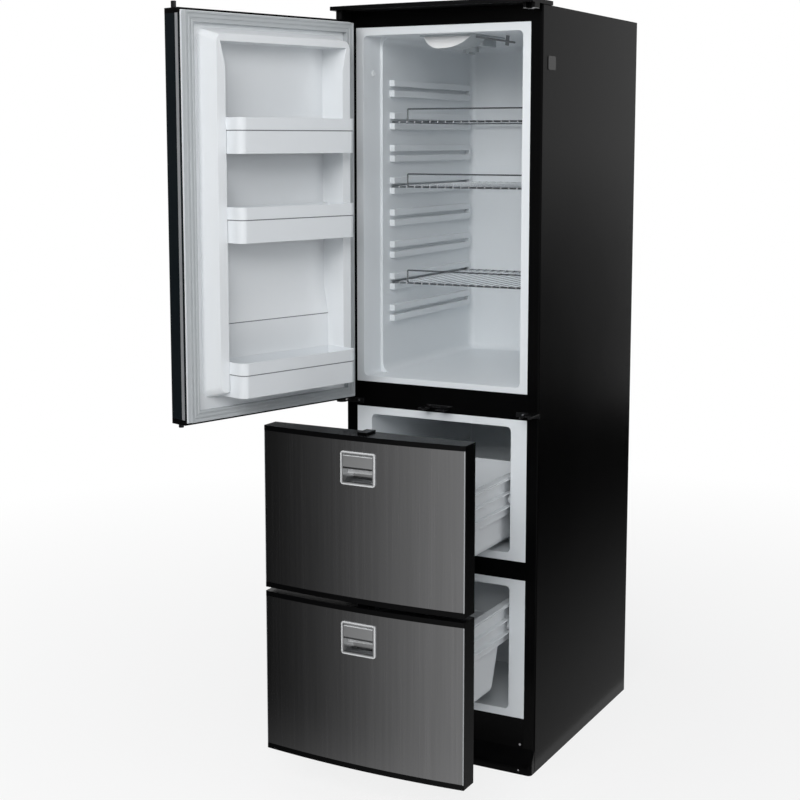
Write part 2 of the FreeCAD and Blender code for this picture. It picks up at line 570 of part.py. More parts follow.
lamp_lens = new_body("lamp_lens")
LENS_TOP = f"({CEILING} - holder_t)"
add(lamp_lens, "XZ", "lamp_front", LAMP_END, [
    (LAMP_L, LENS_TOP, f"{LAMP_L} + lens_left", f"{LENS_TOP} - lens_left_drop"),
    ("lamp_x - lamp_skew", f"{LENS_TOP} - lamp_drop",
     f"{LAMP_R} - lens_right", f"{LENS_TOP} - lens_right_drop"),
    (LAMP_R, LENS_TOP)])

thermostat_dial = new_body("thermostat_dial")
DIAL_TOP = f"({BOX_LOW} - free)"
DIAL_LOW = f"({DIAL_TOP} - dial_t)"
add(thermostat_dial, "XY", DIAL_LOW, DIAL_TOP, ring("lamp_x", DIAL_Y, "dial_r", 30))
cut(thermostat_dial, "XY", f"{DIAL_TOP} - dial_bore", DIAL_TOP, circle(
    "lamp_x", DIAL_Y, "dial_shaft_r + fit"))
add(thermostat_dial, "XY", f"{DIAL_LOW} - grip_h", DIAL_LOW, rect(
    "lamp_x - grip_w/2", f"{DIAL_Y} - grip_len/2", "lamp_x + grip_w/2", f"{DIAL_Y} + grip_len/2"))

# The sensor rod starts under the lamp's holder and slopes down towards the rear right
sensor_tube = new_body("sensor_tube")
TUBE_LEN = "sqrt(tube_dx^2 + tube_dy^2 + tube_dz^2)"
TUBE_DEEP = "(holder_t + tube_r + fit)"
add(sensor_tube, "YZ", "0", TUBE_LEN, ring("0", "0", "tube_r", 30))
add(sensor_tube, "XY", "-clip_drop", f"{TUBE_DEEP} + (clip_at - clip_w/2)*tube_dz/{TUBE_LEN} - fit", rect(
    "clip_at - clip_w/2", "-clip_t/2", "clip_at + clip_w/2", "clip_t/2"))
seat(f"placement(vector({LAMP_R} + tube_r + free; lamp_front + tube_in - cab_d/2; {CEILING} - {TUBE_DEEP}); "
     "rotation(vector(0; 0; 1); atan2(tube_dy; tube_dx))) * "
     f"placement(vector(0; 0; 0); rotation(vector(0; 1; 0); asin(tube_dz/{TUBE_LEN})))", sensor_tube)


# Bowed fronts: a flat back and a front edge that bows out by sag at the middle
def bow_radius(half, sag):
    return f"((({half})^2 + ({sag})^2)/(2*({sag})))"


def bow_at(x, half, edge, sag):
    radius = bow_radius(half, sag)
    return f"(({edge}) - ({sag}) + {radius} - sqrt({radius}^2 - ({x})^2))"


def bowed(half, back, edge, middle):
    return [(minus(half), back), (minus(half), edge, "0", middle), (half, edge), (half, back)]


def bowed_sheet(half, edge, middle, thick):
    return [(minus(half), edge, "0", middle), (half, edge),
            (half, f"{edge} + {thick}", "0", f"{middle} + {thick}"), (minus(half), f"{edge} + {thick}")]


def seal(label, half, low, high):
    """Magnetic seal with two grooves round its face."""
    body = new_body(label)
    face = "-seal_clear"

    def track(inset):
        edge = f"({half} - seal_inset - ({inset}))"
        return rect(minus(edge), f"{low} + seal_inset + {inset}", edge, f"{high} - seal_inset - ({inset})")

    add(body, "XZ", "-seal_gap", face, track("0"), track("seal_w"))
    for start in ("seal_land", "(2*seal_land + seal_groove)"):
        cut(body, "XZ", f"{face} - groove_d", face, track(start), track(f"({start} + seal_groove)"))
    return body


# Latch, drawn about the middle of its bezel with the face towards -Y; the cup's floor is a finger scoop
CUP_BACK = "(cup_d - cup_t)"
CUP_TOP = "(cup_h/2 - cup_t)"
CUP_HALF = "(cup_w/2 - cup_t)"
SCOOP_Y = f"({CUP_BACK} - scoop_r)"
SCOOP_EDGE = f"(-scoop_down - sqrt(scoop_r^2 - (bezel_t + {SCOOP_Y})^2))"


def cup_hole(x, z, gap):
    """Opening for the cup of a latch, wider than the cup by the gap all round."""
    wide = f"(cup_w/2 + {gap})"
    tall = f"(cup_h/2 + {gap})"
    return rect(f"{x} - {wide}", f"{z} - {tall}", f"{x} + {wide}", f"{z} + {tall}")


def latch(prefix, place):
    bezel = new_body(prefix + "_latch_bezel")
    add(bezel, "XZ", "-bezel_t", "0", rounded(
        "-latch_w/2", "-latch_h/2", "latch_w/2", "latch_h/2", "latch_r"))
    add(bezel, "XZ", "0", "cup_d", rect("-cup_w/2", "-cup_h/2", "cup_w/2", "cup_h/2"))
    cut(bezel, "YZ", minus(CUP_HALF), CUP_HALF, [
        ("-bezel_t", CUP_TOP), (CUP_BACK, CUP_TOP),
        (CUP_BACK, "-scoop_down", f"{SCOOP_Y} + scoop_r*sqrt(0.5)", "-scoop_down - scoop_r*sqrt(0.5)"),
        ("-bezel_t", SCOOP_EDGE)])
    cut(bezel, "YZ", "-cup_w/2", "cup_w/2", circle("pivot_back", "pivot_up", "pivot_r + fit"))
    flap = new_body(prefix + "_latch_flap")
    half = f"({CUP_HALF} - flap_gap)"
    add(flap, "YZ", minus(half), half, [
        ("-bezel_t", "flap_foot"), ("-bezel_t + flap_t", "flap_foot"),
        ("-bezel_t + flap_t", "pivot_up - ear_half"), ("pivot_back + pivot_r", "pivot_up - ear_half"),
        ("pivot_back + pivot_r", "flap_up"), ("-bezel_t", "flap_up")])
    add(flap, "YZ", minus(half), half, wire("-bezel_t + flap_t/2", "flap_foot - lip_r/2", "lip_r"))
    add(flap, "YZ", "-cup_w/2", "cup_w/2", circle("pivot_back", "pivot_up", "pivot_r"))
    seat(place, bezel, flap)
    return bezel, flap


# Door
DOOR_BACK = "(-(seal_gap + liner_t))"
DOOR_EDGE = "(-(seal_gap + door_t))"
DOOR_MID = "(-(seal_gap + door_t + door_bow))"
CORE_HALF = f"({SIDE} - profile_w)"
DOOR_BOW = bow_at(CORE_HALF, SIDE, DOOR_EDGE, "door_bow")


def door_cap(label, low, high):
    body = new_body(label)
    add(body, "XY", low, high, bowed(SIDE, DOOR_BACK, DOOR_EDGE, DOOR_MID))
    soften(body, "edge_r", lambda box: upright(box) and near(box.YMin, value(DOOR_EDGE)))
    cut(body, "XY", low, high, circle(minus(HINGE_X), HINGE_Y, "pin_r + fit"),
        circle(HINGE_X, HINGE_Y, "catch_r + free"))
    return body


door_top_cap = door_cap("door_top_cap", f"{DOOR_TOP} - cap_t", DOOR_TOP)
door_bottom_cap = door_cap("door_bottom_cap", DOOR_LOW, f"{DOOR_LOW} + cap_t")

BAR_LOW = f"({DOOR_LOW} + cap_t)"
BAR_TOP = f"({DOOR_TOP} - cap_t)"
bar_plan = [(CORE_HALF, DOOR_BACK), (CORE_HALF, DOOR_BOW), (SIDE, DOOR_EDGE), (SIDE, DOOR_BACK)]


def side_bar(label, plan):
    body = new_body(label, keep=False)
    add(body, "XY", BAR_LOW, BAR_TOP, plan)
    soften(body, "edge_r", lambda box: upright(box) and near(box.YMin, value(DOOR_EDGE)))
    return body


free_bar = side_bar("free_bar", bar_plan)
cut(free_bar, "XY", f"{BAR_TOP} - catch_bore", BAR_TOP, circle(HINGE_X, HINGE_Y, "catch_r + free"))
cut(free_bar, "XY", BAR_LOW, f"{BAR_LOW} + catch_bore", circle(HINGE_X, HINGE_Y, "catch_r + free"))
door_profiles = group("door_profiles", side_bar("hinge_bar", flipped(bar_plan)), free_bar)

LATCH_Z = f"({DOOR_LOW} + door_h/2)"
LATCH_X = f"({SIDE} - door_latch_in)"
door_skin = new_body("door_skin")
add(door_skin, "XY", BAR_LOW, BAR_TOP, bowed_sheet(
    CORE_HALF, f"{DOOR_BOW} + skin_sink", f"{DOOR_MID} + skin_sink", "skin_t"))
cut(door_skin, "XZ", DOOR_MID, DOOR_BACK, cup_hole(LATCH_X, LATCH_Z, "cup_clear"))

DYKE_HALF = f"({BAY_HALF} - dyke_clear)"
DYKE_LOW = f"({FLOOR} + dyke_clear)"
DYKE_TOP = f"({CEILING} - dyke_clear)"
RECESS_HALF = f"({DYKE_HALF} - dyke_lean - dyke_crest)"
PAN_LOW = f"({DOOR_LOW} + recess_low)"
PAN_TOP = f"({DOOR_TOP} - recess_top)"
PIT = "(-seal_gap - recess_deep)"
CREST = "(dyke_h - seal_gap)"
pan = rect(
    f"-{RECESS_HALF} - liner_t", f"{PAN_LOW} - liner_t", f"{RECESS_HALF} + liner_t", f"{PAN_TOP} + liner_t")
door_core = new_body("door_core")
add(door_core, "XY", BAR_LOW, BAR_TOP, bowed(
    CORE_HALF, DOOR_BACK, f"{DOOR_BOW} + skin_sink + skin_t", f"{DOOR_MID} + skin_sink + skin_t"))
cut(door_core, "XZ", DOOR_MID, f"{PIT} - 2*liner_t", cup_hole(LATCH_X, LATCH_Z, "cup_room"))
cut(door_core, "XZ", f"{PIT} - liner_t", DOOR_BACK, pan)

# Inner panel of the door: a flange behind the seal, a raised dyke all round and a deep recess inside it
door_liner = new_body("door_liner")
add(door_liner, "XZ", DOOR_BACK, "-seal_gap", rect(
    f"-{SIDE} + panel_inset", f"{DOOR_LOW} + panel_inset",
    f"{SIDE} - panel_inset", f"{DOOR_TOP} - panel_inset"))
loft(door_liner, "XZ", (
    "-seal_gap", rounded(minus(DYKE_HALF), DYKE_LOW, DYKE_HALF, DYKE_TOP, "dyke_r")), (
    CREST, rounded(f"-{DYKE_HALF} + dyke_lean", f"{DYKE_LOW} + dyke_lean",
                   f"{DYKE_HALF} - dyke_lean", f"{DYKE_TOP} - dyke_lean", "dyke_r")))
add(door_liner, "XZ", f"{PIT} - liner_t", "-seal_gap", pan)
cut(door_liner, "YZ", minus(RECESS_HALF), RECESS_HALF, [
    (CREST, PAN_LOW), (CREST, PAN_TOP), (PIT, PAN_TOP), (PIT, f"{DOOR_LOW} + ramp_high"),
    (f"{PIT} + recess_rise", f"{DOOR_LOW} + ramp_low"), (f"{PIT} + recess_rise", PAN_LOW)])
gusset = [
    (RECESS_HALF, PAN_TOP), (f"{RECESS_HALF} - gusset_w", PAN_TOP), (RECESS_HALF, f"{PAN_TOP} - gusset_h")]
add(door_liner, "XZ", PIT, CREST, gusset, flipped(gusset))

door_gasket = seal("door_gasket", SIDE, DOOR_LOW, DOOR_TOP)


def bin_plan(inset):
    edge = f"({RECESS_HALF} - ({inset}))"
    front = f"(bin_out - seal_gap - ({inset}))"
    round_r = f"(bin_r - ({inset}))"
    k = f"{round_r}*(1 - sqrt(0.5))"
    back = f"(-seal_gap + ({inset}))"
    return [
        (minus(edge), back), (edge, back),
        (edge, f"{front} - {round_r}", f"{edge} - {k}", f"{front} - {k}"), (f"{edge} - {round_r}", front),
        (f"-{edge} + {round_r}", front, f"-{edge} + {k}", f"{front} - {k}"),
        (minus(edge), f"{front} - {round_r}")]


def door_bin(label, level):
    """Open bin whose upper band stands a little proud."""
    body = new_body(label)
    low = f"({DOOR_LOW} + {level})"
    high = f"({low} + bin_h)"
    add(body, "XY", low, f"{high} - bin_band", bin_plan("bin_proud"))
    add(body, "XY", f"{high} - bin_band", high, bin_plan("0"))
    cut(body, "XY", f"{low} + bin_t", high, bin_plan("bin_t"))
    return body


door_bin_top = door_bin("door_bin_top", "bin_one")
door_bin_middle = door_bin("door_bin_middle", "bin_two")
door_bin_bottom = door_bin("door_bin_bottom", "bin_three")

catch_pin = circle(HINGE_X, HINGE_Y, "catch_r")
door_top_pin = new_body("door_top_pin")
add(door_top_pin, "XY", f"{DOOR_TOP} - catch_len", f"{DOOR_TOP} + catch_up", catch_pin)
door_bottom_pin = new_body("door_bottom_pin")
add(door_bottom_pin, "XY", f"{DOOR_LOW} - catch_down", f"{DOOR_LOW} + catch_len", catch_pin)

LATCH_Y = f"({bow_at(LATCH_X, SIDE, DOOR_EDGE, 'door_bow')} + skin_sink)"
LATCH_TURN = f"asin({LATCH_X}/{bow_radius(SIDE, 'door_bow')})"
door_latch_bezel, door_latch_flap = latch("door", (
    PLACES["door"] + f" * placement(vector({LATCH_X}; {LATCH_Y}; {LATCH_Z}); "
    f"rotation(vector(0; 0; 1); {LATCH_TURN}))"))
seat("door", door_top_cap, door_bottom_cap, door_profiles, door_skin, door_core, door_liner, door_gasket,
     door_bin_top, door_bin_middle, door_bin_bottom, door_top_pin, door_bottom_pin)

# Drawers
FRONT_BACK = "(-seal_gap)"
FRONT_EDGE = "(-(seal_gap + front_t))"
FRONT_MID = "(-(seal_gap + front_t + front_bow))"
PANE_HALF = f"({FRONT_HALF} - frame_w)"
FRONT_BOW = bow_at(PANE_HALF, FRONT_HALF, FRONT_EDGE, "front_bow")


def axle_level(rim):
    return f"({rim} - track_top - roller_r - free)"


def rail(label, rim):
    """Drawer rail: an upright web with flanges that carry the basket and run on a roller."""
    body = new_body(label, keep=False)
    web = f"({RAIL_X} + rail_t)"
    out = f"({RAIL_X} + rail_flange)"
    head = f"({rim} - rail_top)"
    track = f"({rim} - track_top)"
    lower = f"({track} - 2*(roller_r + free))"
    add(body, "XZ", "-seal_gap", "inner_depth - rail_end", [
        (RAIL_X, f"{rim} - rail_skirt"), (web, f"{rim} - rail_skirt"), (web, f"{lower} - rail_t"),
        (out, f"{lower} - rail_t"), (out, lower), (web, lower), (web, track), (out, track),
        (out, f"{track} + rail_t"), (web, f"{track} + rail_t"), (web, f"{head} - rail_t"),
        (out, f"{head} - rail_t"), (out, head), (RAIL_X, head)])
    return body


def runner(label, rim):
    """Strip on the liner wall with the axle of a roller near the front."""
    body = new_body(label, keep=False)
    axle = axle_level(rim)
    face = f"({DRAWER_HALF} - runner_t)"
    add(body, "YZ", face, DRAWER_HALF, rect(
        "roller_y - runner_half", f"{axle} - runner_half",
        "inner_depth - runner_end", f"{axle} + runner_half"))
    add(body, "YZ", f"{face} - roller_w - axle_over", face, circle("roller_y", axle, "axle_r"))
    return body


def roller(label, rim):
    body = new_body(label, keep=False)
    axle = axle_level(rim)
    outer = f"({DRAWER_HALF} - runner_t - roller_gap)"
    add(body, "YZ", f"{outer} - roller_w", outer, circle("roller_y", axle, "roller_r"),
        circle("roller_y", axle, "axle_r + fit"))
    return body


def basket(label, rim, profile, hollow):
    body = new_body(label)
    add(body, "YZ", minus(TUB_HALF), TUB_HALF, profile)
    add(body, "XY", f"{rim} - rim_t", rim, rounded(
        f"-{RAIL_X} - rim_over", "tub_front", f"{RAIL_X} + rim_over", TUB_END, "rim_r"))
    cut(body, "YZ", f"-{TUB_HALF} + tub_t", f"{TUB_HALF} - tub_t", hollow)
    for level, radius in ((hollow[0][1], "tub_r - tub_t"), (profile[0][1], "tub_r")):
        soften(body, radius, lambda box: box.XLength < TOUCH and near(box.ZMax, value(level))
               and box.YLength > value("tub_r"))
    return body


def drawer(name, low, high, rim, profile, hollow):
    mid = f"({high} - latch_drop)"
    sill = f"({low} + cap_t)"
    lintel = f"({high} - cap_t)"
    bolt_way = rect(
        "-bolt_w/2 - free", "-bolt_y - bolt_d/2 - free", "bolt_w/2 + free", "-bolt_y + bolt_d/2 + free")
    latch_hole = cup_hole("0", mid, "cup_clear")
    frame = new_body(name + "_front_frame")
    add(frame, "XY", low, high, bowed(FRONT_HALF, FRONT_BACK, FRONT_EDGE, FRONT_MID))
    soften(frame, "front_r", lambda box: upright(box) and near(box.YMin, value(FRONT_EDGE)))
    cut(frame, "XZ", f"{FRONT_MID} - free", FRONT_BACK, rect(minus(PANE_HALF), sill, PANE_HALF, lintel))
    cut(frame, "XY", lintel, high, bolt_way)
    skin = new_body(name + "_front_skin")
    add(skin, "XY", sill, lintel, bowed_sheet(
        PANE_HALF, f"{FRONT_BOW} + skin_sink", f"{FRONT_MID} + skin_sink", "skin_t"))
    cut(skin, "XZ", FRONT_MID, FRONT_BACK, latch_hole)
    panel = new_body(name + "_inner_panel")
    add(panel, "XY", sill, lintel, bowed(
        PANE_HALF, FRONT_BACK, f"{FRONT_BOW} + skin_sink + skin_t", f"{FRONT_MID} + skin_sink + skin_t"))
    cut(panel, "XZ", FRONT_MID, f"{FRONT_BACK} - latch_wall", latch_hole)
    cut(panel, "XY", f"{mid} + cup_h/2", lintel, bolt_way)
    gasket = seal(name + "_gasket", FRONT_HALF, low, high)
    tub = basket(name + "_basket", rim, profile, hollow)
    side = rail(name + "_rail", rim)
    rails = group(name + "_rails", side, twin(side))
    bolt = new_body(name + "_latch_bolt")
    add(bolt, "XY", f"{lintel} - bolt_drop", f"{high} + bolt_up", rect(
        "-bolt_w/2", "-bolt_y - bolt_d/2", "bolt_w/2", "-bolt_y + bolt_d/2"))
    seat("drawer", frame, skin, panel, gasket, tub, rails, bolt)
    latch(name, f"placement(vector(0; -cab_d/2 - drawer_out + {FRONT_MID} + skin_sink; {mid}); "
                "rotation(vector(0; 0; 1); 0))")
    wheel = roller(name + "_roller", rim)
    return group(name + "_rollers", wheel, twin(wheel))


TUB_END = "(inner_depth - tub_end)"
TUB_BACK = f"({TUB_END} - tub_t)"
TUB_FACE = "(tub_front + tub_t)"
UPPER_TUB = f"({UPPER_RIM} - tub_deep)"
LOWER_TUB = f"({LOWER_RIM} - tub_deep_low)"
TUB_STEP = f"({SHELF_STEP} + step_clear)"
BEND_LOW = "(step_low - step_gap_low)"
BEND_HIGH = "(step_high - step_gap_high)"
tub_upper = rect("tub_front", UPPER_TUB, TUB_END, UPPER_RIM)
hollow_upper = rect(TUB_FACE, f"{UPPER_TUB} + tub_t", TUB_BACK, UPPER_RIM)
tub_lower = [
    ("tub_front", LOWER_TUB), (BEND_LOW, LOWER_TUB), (BEND_HIGH, TUB_STEP), (TUB_END, TUB_STEP),
    (TUB_END, LOWER_RIM), ("tub_front", LOWER_RIM)]
hollow_lower = [
    (TUB_FACE, f"{LOWER_TUB} + tub_t"), (f"{BEND_LOW} - tub_t", f"{LOWER_TUB} + tub_t"),
    (f"{BEND_HIGH} - tub_t", f"{TUB_STEP} + tub_t"), (TUB_BACK, f"{TUB_STEP} + tub_t"),
    (TUB_BACK, LOWER_RIM), (TUB_FACE, LOWER_RIM)]
upper_rollers = drawer("upper", UPPER_FRONT, UPPER_HIGH, UPPER_RIM, tub_upper, hollow_upper)
lower_rollers = drawer("lower", LOWER_FRONT, LOWER_HIGH, LOWER_RIM, tub_lower, hollow_lower)
upper_strip = runner("upper_runner", UPPER_RIM)
lower_strip = runner("lower_runner", LOWER_RIM)
cabinet_runners = group("cabinet_runners", upper_strip, twin(upper_strip), lower_strip, twin(lower_strip))

# Machine compartment
compressor = new_body("compressor")
PLATE_LOW = "(base_t + foot_h)"
CAN_LOW = f"({PLATE_LOW} + plate_t)"
CAN_TOP = f"({CAN_LOW} + can_h)"
add(compressor, "XY", CAN_LOW, CAN_TOP, ring("0", "0", "can_r", 20))
for end, inset in ((CAN_LOW, "can_taper"), (CAN_TOP, "dome_in")):
    soften(compressor, inset, lambda box: near(box.ZMin, value(end)) and near(box.ZMax, value(end)),
           kind="Chamfer")
add(compressor, "XY", PLATE_LOW, CAN_LOW, rect("-plate_x", "-plate_y", "plate_x", "plate_y"))
for x in ("foot_x", "-foot_x"):
    for y in ("foot_y", "-foot_y"):
        add(compressor, "XY", "base_t", PLATE_LOW, rect(
            f"{x} - foot_w/2", f"{y} - foot_w/2", f"{x} + foot_w/2", f"{y} + foot_w/2"))
add(compressor, "XY", f"{CAN_LOW} + relay_low", f"{CAN_LOW} + relay_high", rect(
    "relay_in", "-relay_half", "relay_out", "relay_half"))
seat("placement(vector(can_x; can_y - cab_d/2; 0); rotation(vector(0; 0; 1); 0))", compressor)

# Condenser of pipes and fins between two end plates, with the fan motor on a strap behind it
condenser = new_body("condenser")
add(condenser, "YZ", "-coil_half", "coil_half", wire("-pipe_y", "fan_z - pipe_apart", "pipe_r"),
    wire("-pipe_y", "fan_z + pipe_apart", "pipe_r"))
fin = add(condenser, "YZ", "-coil_half + fin_in", "-coil_half + fin_in + fin_t", rect(
    "-fin_front", "fin_low", "-fin_rear", "fin_high"))
repeat(condenser, [fin], "X_Axis", "2*(coil_half - fin_in) - fin_t", "fin_count")
coil_end = rect("-coil_front", "base_t", "coil_rear", "coil_h")
add(condenser, "YZ", "-coil_half", "-coil_half + coil_end_t", coil_end)
add(condenser, "YZ", "coil_half - coil_end_t", "coil_half", coil_end)
add(condenser, "XZ", "-strap_front", "-motor_front", rect(
    "-coil_half", "fan_z - strap_half", "coil_half", "fan_z + strap_half"))
HUB_Y = "(motor_rear + hub_gap)"
HUB_END = f"({HUB_Y} + hub_len)"
add(condenser, "XZ", "-motor_front", "motor_rear", circle("0", "fan_z", "motor_r"))
add(condenser, "XZ", "motor_rear", f"{HUB_END} + shaft_end", circle("0", "fan_z", "shaft_r"))
seat("placement(vector(coil_x; coil_y - cab_d/2; 0); rotation(vector(0; 0; 1); 0))", condenser)


def tilted(u, v):
    """A corner of a blade's section, turned by the pitch about the middle of the hub."""
    turn = "(blade_pitch*1 deg)"
    return (f"{HUB_Y} + hub_len/2 + ({u})*cos({turn}) - ({v})*sin({turn})",
            f"({u})*sin({turn}) + ({v})*cos({turn})")


condenser_fan = new_body("condenser_fan")
add(condenser_fan, "XZ", HUB_Y, HUB_END, ring("0", "0", "hub_r", 30))
blade = add(condenser_fan, "YZ", "hub_r - blade_root", "blade_r", [
    tilted(u, v) for u, v in rect("-blade_t/2", "-blade_w/2", "blade_t/2", "blade_w/2")])
blades = condenser_fan.newObject("PartDesign::PolarPattern", "blades")
blades.Originals = [blade]
blades.Axis = (origin(condenser_fan, "Y_Axis"), [""])
blades.Angle = 360
drive(blades, "Occurrences", "blade_count")
condenser_fan.Tip = blades
doc.recompute()
cut(condenser_fan, "XZ", HUB_Y, HUB_END, circle("0", "0", "shaft_r + fit"))
seat("placement(vector(coil_x; coil_y - cab_d/2; fan_z); rotation(vector(0; 0; 1); 0))", condenser_fan)

seat("cabinet", casing_right, casing_left, casing_top, casing_back, base_tray, mullion, drawer_rail,
     top_hood, lower_hinge, lower_catch, drawer_keepers, fridge_liner, upper_liner, lower_liner,
     cabinet_foam, shelf_bottom, shelf_middle, shelf_top, lamp_housing, lamp_lens, thermostat_dial,
     cabinet_runners, upper_rollers, lower_rollers)
doc.recompute()

# Every object is checked before the pieces are written
for item in doc.Objects:
    if "Invalid" in item.State or "Error" in item.State:
        raise RuntimeError(item.Label + " did not recompute")
os.makedirs("parts", exist_ok=True)
for piece in pieces:
    if piece.Shape.isNull() or not piece.Shape.isValid():
        raise RuntimeError(piece.Label + " has no valid shape")
    piece.Shape.exportStep(f"parts/{piece.Label}.step")
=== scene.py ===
import math
import bmesh
import bpy
from mathutils import Matrix, Vector


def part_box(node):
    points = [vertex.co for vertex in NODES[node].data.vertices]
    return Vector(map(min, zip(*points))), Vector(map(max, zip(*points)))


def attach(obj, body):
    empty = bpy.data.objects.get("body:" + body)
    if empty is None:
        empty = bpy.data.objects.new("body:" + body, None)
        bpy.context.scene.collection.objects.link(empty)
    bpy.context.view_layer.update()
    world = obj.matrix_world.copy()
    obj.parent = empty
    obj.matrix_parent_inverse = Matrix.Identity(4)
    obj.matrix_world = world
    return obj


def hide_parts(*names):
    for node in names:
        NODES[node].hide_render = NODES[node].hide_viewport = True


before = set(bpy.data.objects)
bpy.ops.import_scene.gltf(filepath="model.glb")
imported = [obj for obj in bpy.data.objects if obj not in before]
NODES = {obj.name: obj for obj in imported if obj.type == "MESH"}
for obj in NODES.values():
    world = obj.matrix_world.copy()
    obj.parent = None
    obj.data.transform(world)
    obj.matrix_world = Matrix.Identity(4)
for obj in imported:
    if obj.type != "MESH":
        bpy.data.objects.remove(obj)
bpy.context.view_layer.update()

SCENE = bpy.context.scene
MM = 0.001

# Camera: the photograph's place, angle and lens; the lens axis meets the image at the row AXIS_PX
YAW, PITCH = math.radians(28.119), math.radians(7.351)
IMAGE_PX, LENS_PX, AXIS_PX, SENSOR_MM = 800, 1506.86, 334, 36
camera_data = bpy.data.cameras.new("photo_camera")
camera_data.sensor_width = SENSOR_MM
camera_data.lens = LENS_PX * SENSOR_MM / IMAGE_PX
camera_data.shift_y = -(IMAGE_PX / 2 - AXIS_PX) / IMAGE_PX
camera = bpy.data.objects.new("photo_camera", camera_data)
SCENE.collection.objects.link(camera)
camera.location = (1.3692, -3.0058, 1.2910)
looking = Vector((-math.sin(YAW) * math.cos(PITCH), math.cos(YAW) * math.cos(PITCH), -math.sin(PITCH)))
camera.rotation_mode = "QUATERNION"
camera.rotation_quaternion = looking.to_track_quat("-Z", "Y")
SCENE.camera = camera
SCENE.view_settings.view_transform = "Standard"


# Shader helpers
def new_material(name):
    material = bpy.data.materials.new(name)
    material.use_nodes = True
    return material, material.node_tree, material.node_tree.nodes["Principled BSDF"]


def new_group(name, inputs, outputs):
    """A shader node group; inputs map a name to its plain value, outputs name the values it gives."""
    group = bpy.data.node_groups.new(name, "ShaderNodeTree")
    for label, default in inputs.items():
        kind = "NodeSocketColor" if isinstance(default, tuple) else "NodeSocketFloat"
        socket = group.interface.new_socket(name=label, in_out="INPUT", socket_type=kind)
        socket.default_value = default
    for label, kind in outputs.items():
        group.interface.new_socket(name=label, in_out="OUTPUT", socket_type="NodeSocket" + kind)
    return group, group.nodes.new("NodeGroupInput"), group.nodes.new("NodeGroupOutput")


def put(tree, kind, **settings):
    node = tree.nodes.new("ShaderNode" + kind)
    for key, value in settings.items():
        setattr(node, key, value)
    return node


def join(tree, source, target):
    tree.links.new(source, target)


def use_group(tree, group, **values):
    node = put(tree, "Group", node_tree=group)
    for key, value in values.items():
        node.inputs[key.replace("_", " ")].default_value = value
    return node


def stretched_noise(tree, scale, detail, sides=(1, 1, 1)):
    """Noise on Object coordinates, stretched by the three scales of its sides."""
    where = put(tree, "TexCoord")
    mapping = put(tree, "Mapping")
    mapping.inputs["Scale"].default_value = sides
    noise = put(tree, "TexNoise")
    noise.inputs["Scale"].default_value = scale
    noise.inputs["Detail"].default_value = detail
    join(tree, where.outputs["Object"], mapping.inputs["Vector"])
    join(tree, mapping.outputs["Vector"], noise.inputs["Vector"])
    return noise


# Surface variation: a slow drift of tone, a fine grain for the height and a drift of the roughness
SURFACE, surface_in, surface_out = new_group(
    "surface_variation",
    {"Colour": (0.5, 0.5, 0.5, 1), "Tone": 0.05, "Roughness": 0.4, "Roughness drift": 0.06,
     "Fine scale": 900.0},
    {"Colour": "Color", "Roughness": "Float", "Height": "Float"})
cloud = stretched_noise(SURFACE, 6, 3)
shift = put(SURFACE, "Math", operation="SUBTRACT")
shift.inputs[1].default_value = 0.5
amount = put(SURFACE, "Math", operation="MULTIPLY_ADD")
amount.inputs[2].default_value = 1
tint = put(SURFACE, "VectorMath", operation="SCALE")
rough = put(SURFACE, "Math", operation="MULTIPLY_ADD")
fine_where = put(SURFACE, "TexCoord")
fine = put(SURFACE, "TexNoise")
fine.inputs["Detail"].default_value = 2
join(SURFACE, cloud.outputs["Fac"], shift.inputs[0])
join(SURFACE, shift.outputs[0], amount.inputs[0])
join(SURFACE, surface_in.outputs["Tone"], amount.inputs[1])
join(SURFACE, surface_in.outputs["Colour"], tint.inputs[0])
join(SURFACE, amount.outputs[0], tint.inputs["Scale"])
join(SURFACE, tint.outputs[0], surface_out.inputs["Colour"])
join(SURFACE, shift.outputs[0], rough.inputs[0])
join(SURFACE, surface_in.outputs["Roughness drift"], rough.inputs[1])
join(SURFACE, surface_in.outputs["Roughness"], rough.inputs[2])
join(SURFACE, rough.outputs[0], surface_out.inputs["Roughness"])
join(SURFACE, fine_where.outputs["Object"], fine.inputs["Vector"])
join(SURFACE, surface_in.outputs["Fine scale"], fine.inputs["Scale"])
join(SURFACE, fine.outputs["Fac"], surface_out.inputs["Height"])

# Brushed grain: long upright scratches of two widths
GRAIN, grain_in, grain_out = new_group(
    "brushed_grain", {"Colour": (0.2, 0.2, 0.2, 1), "Contrast": 0.35, "Roughness": 0.32},
    {"Colour": "Color", "Roughness": "Float", "Height": "Float"})
hair = stretched_noise(GRAIN, 1, 2, (1700, 1700, 9))
streak = stretched_noise(GRAIN, 1, 3, (170, 170, 1.6))
both = put(GRAIN, "Math", operation="ADD")
centre = put(GRAIN, "Math", operation="SUBTRACT")
centre.inputs[1].default_value = 1
gain = put(GRAIN, "Math", operation="MULTIPLY_ADD")
gain.inputs[2].default_value = 1
shade = put(GRAIN, "VectorMath", operation="SCALE")
rough_gain = put(GRAIN, "Math", operation="MULTIPLY_ADD")
rough_gain.inputs[1].default_value = 0.12
join(GRAIN, hair.outputs["Fac"], both.inputs[0])
join(GRAIN, streak.outputs["Fac"], both.inputs[1])
join(GRAIN, both.outputs[0], centre.inputs[0])
join(GRAIN, centre.outputs[0], gain.inputs[0])
join(GRAIN, grain_in.outputs["Contrast"], gain.inputs[1])
join(GRAIN, grain_in.outputs["Colour"], shade.inputs[0])
join(GRAIN, gain.outputs[0], shade.inputs["Scale"])
join(GRAIN, shade.outputs[0], grain_out.inputs["Colour"])
join(GRAIN, centre.outputs[0], rough_gain.inputs[0])
join(GRAIN, grain_in.outputs["Roughness"], rough_gain.inputs[2])
join(GRAIN, rough_gain.outputs[0], grain_out.inputs["Roughness"])
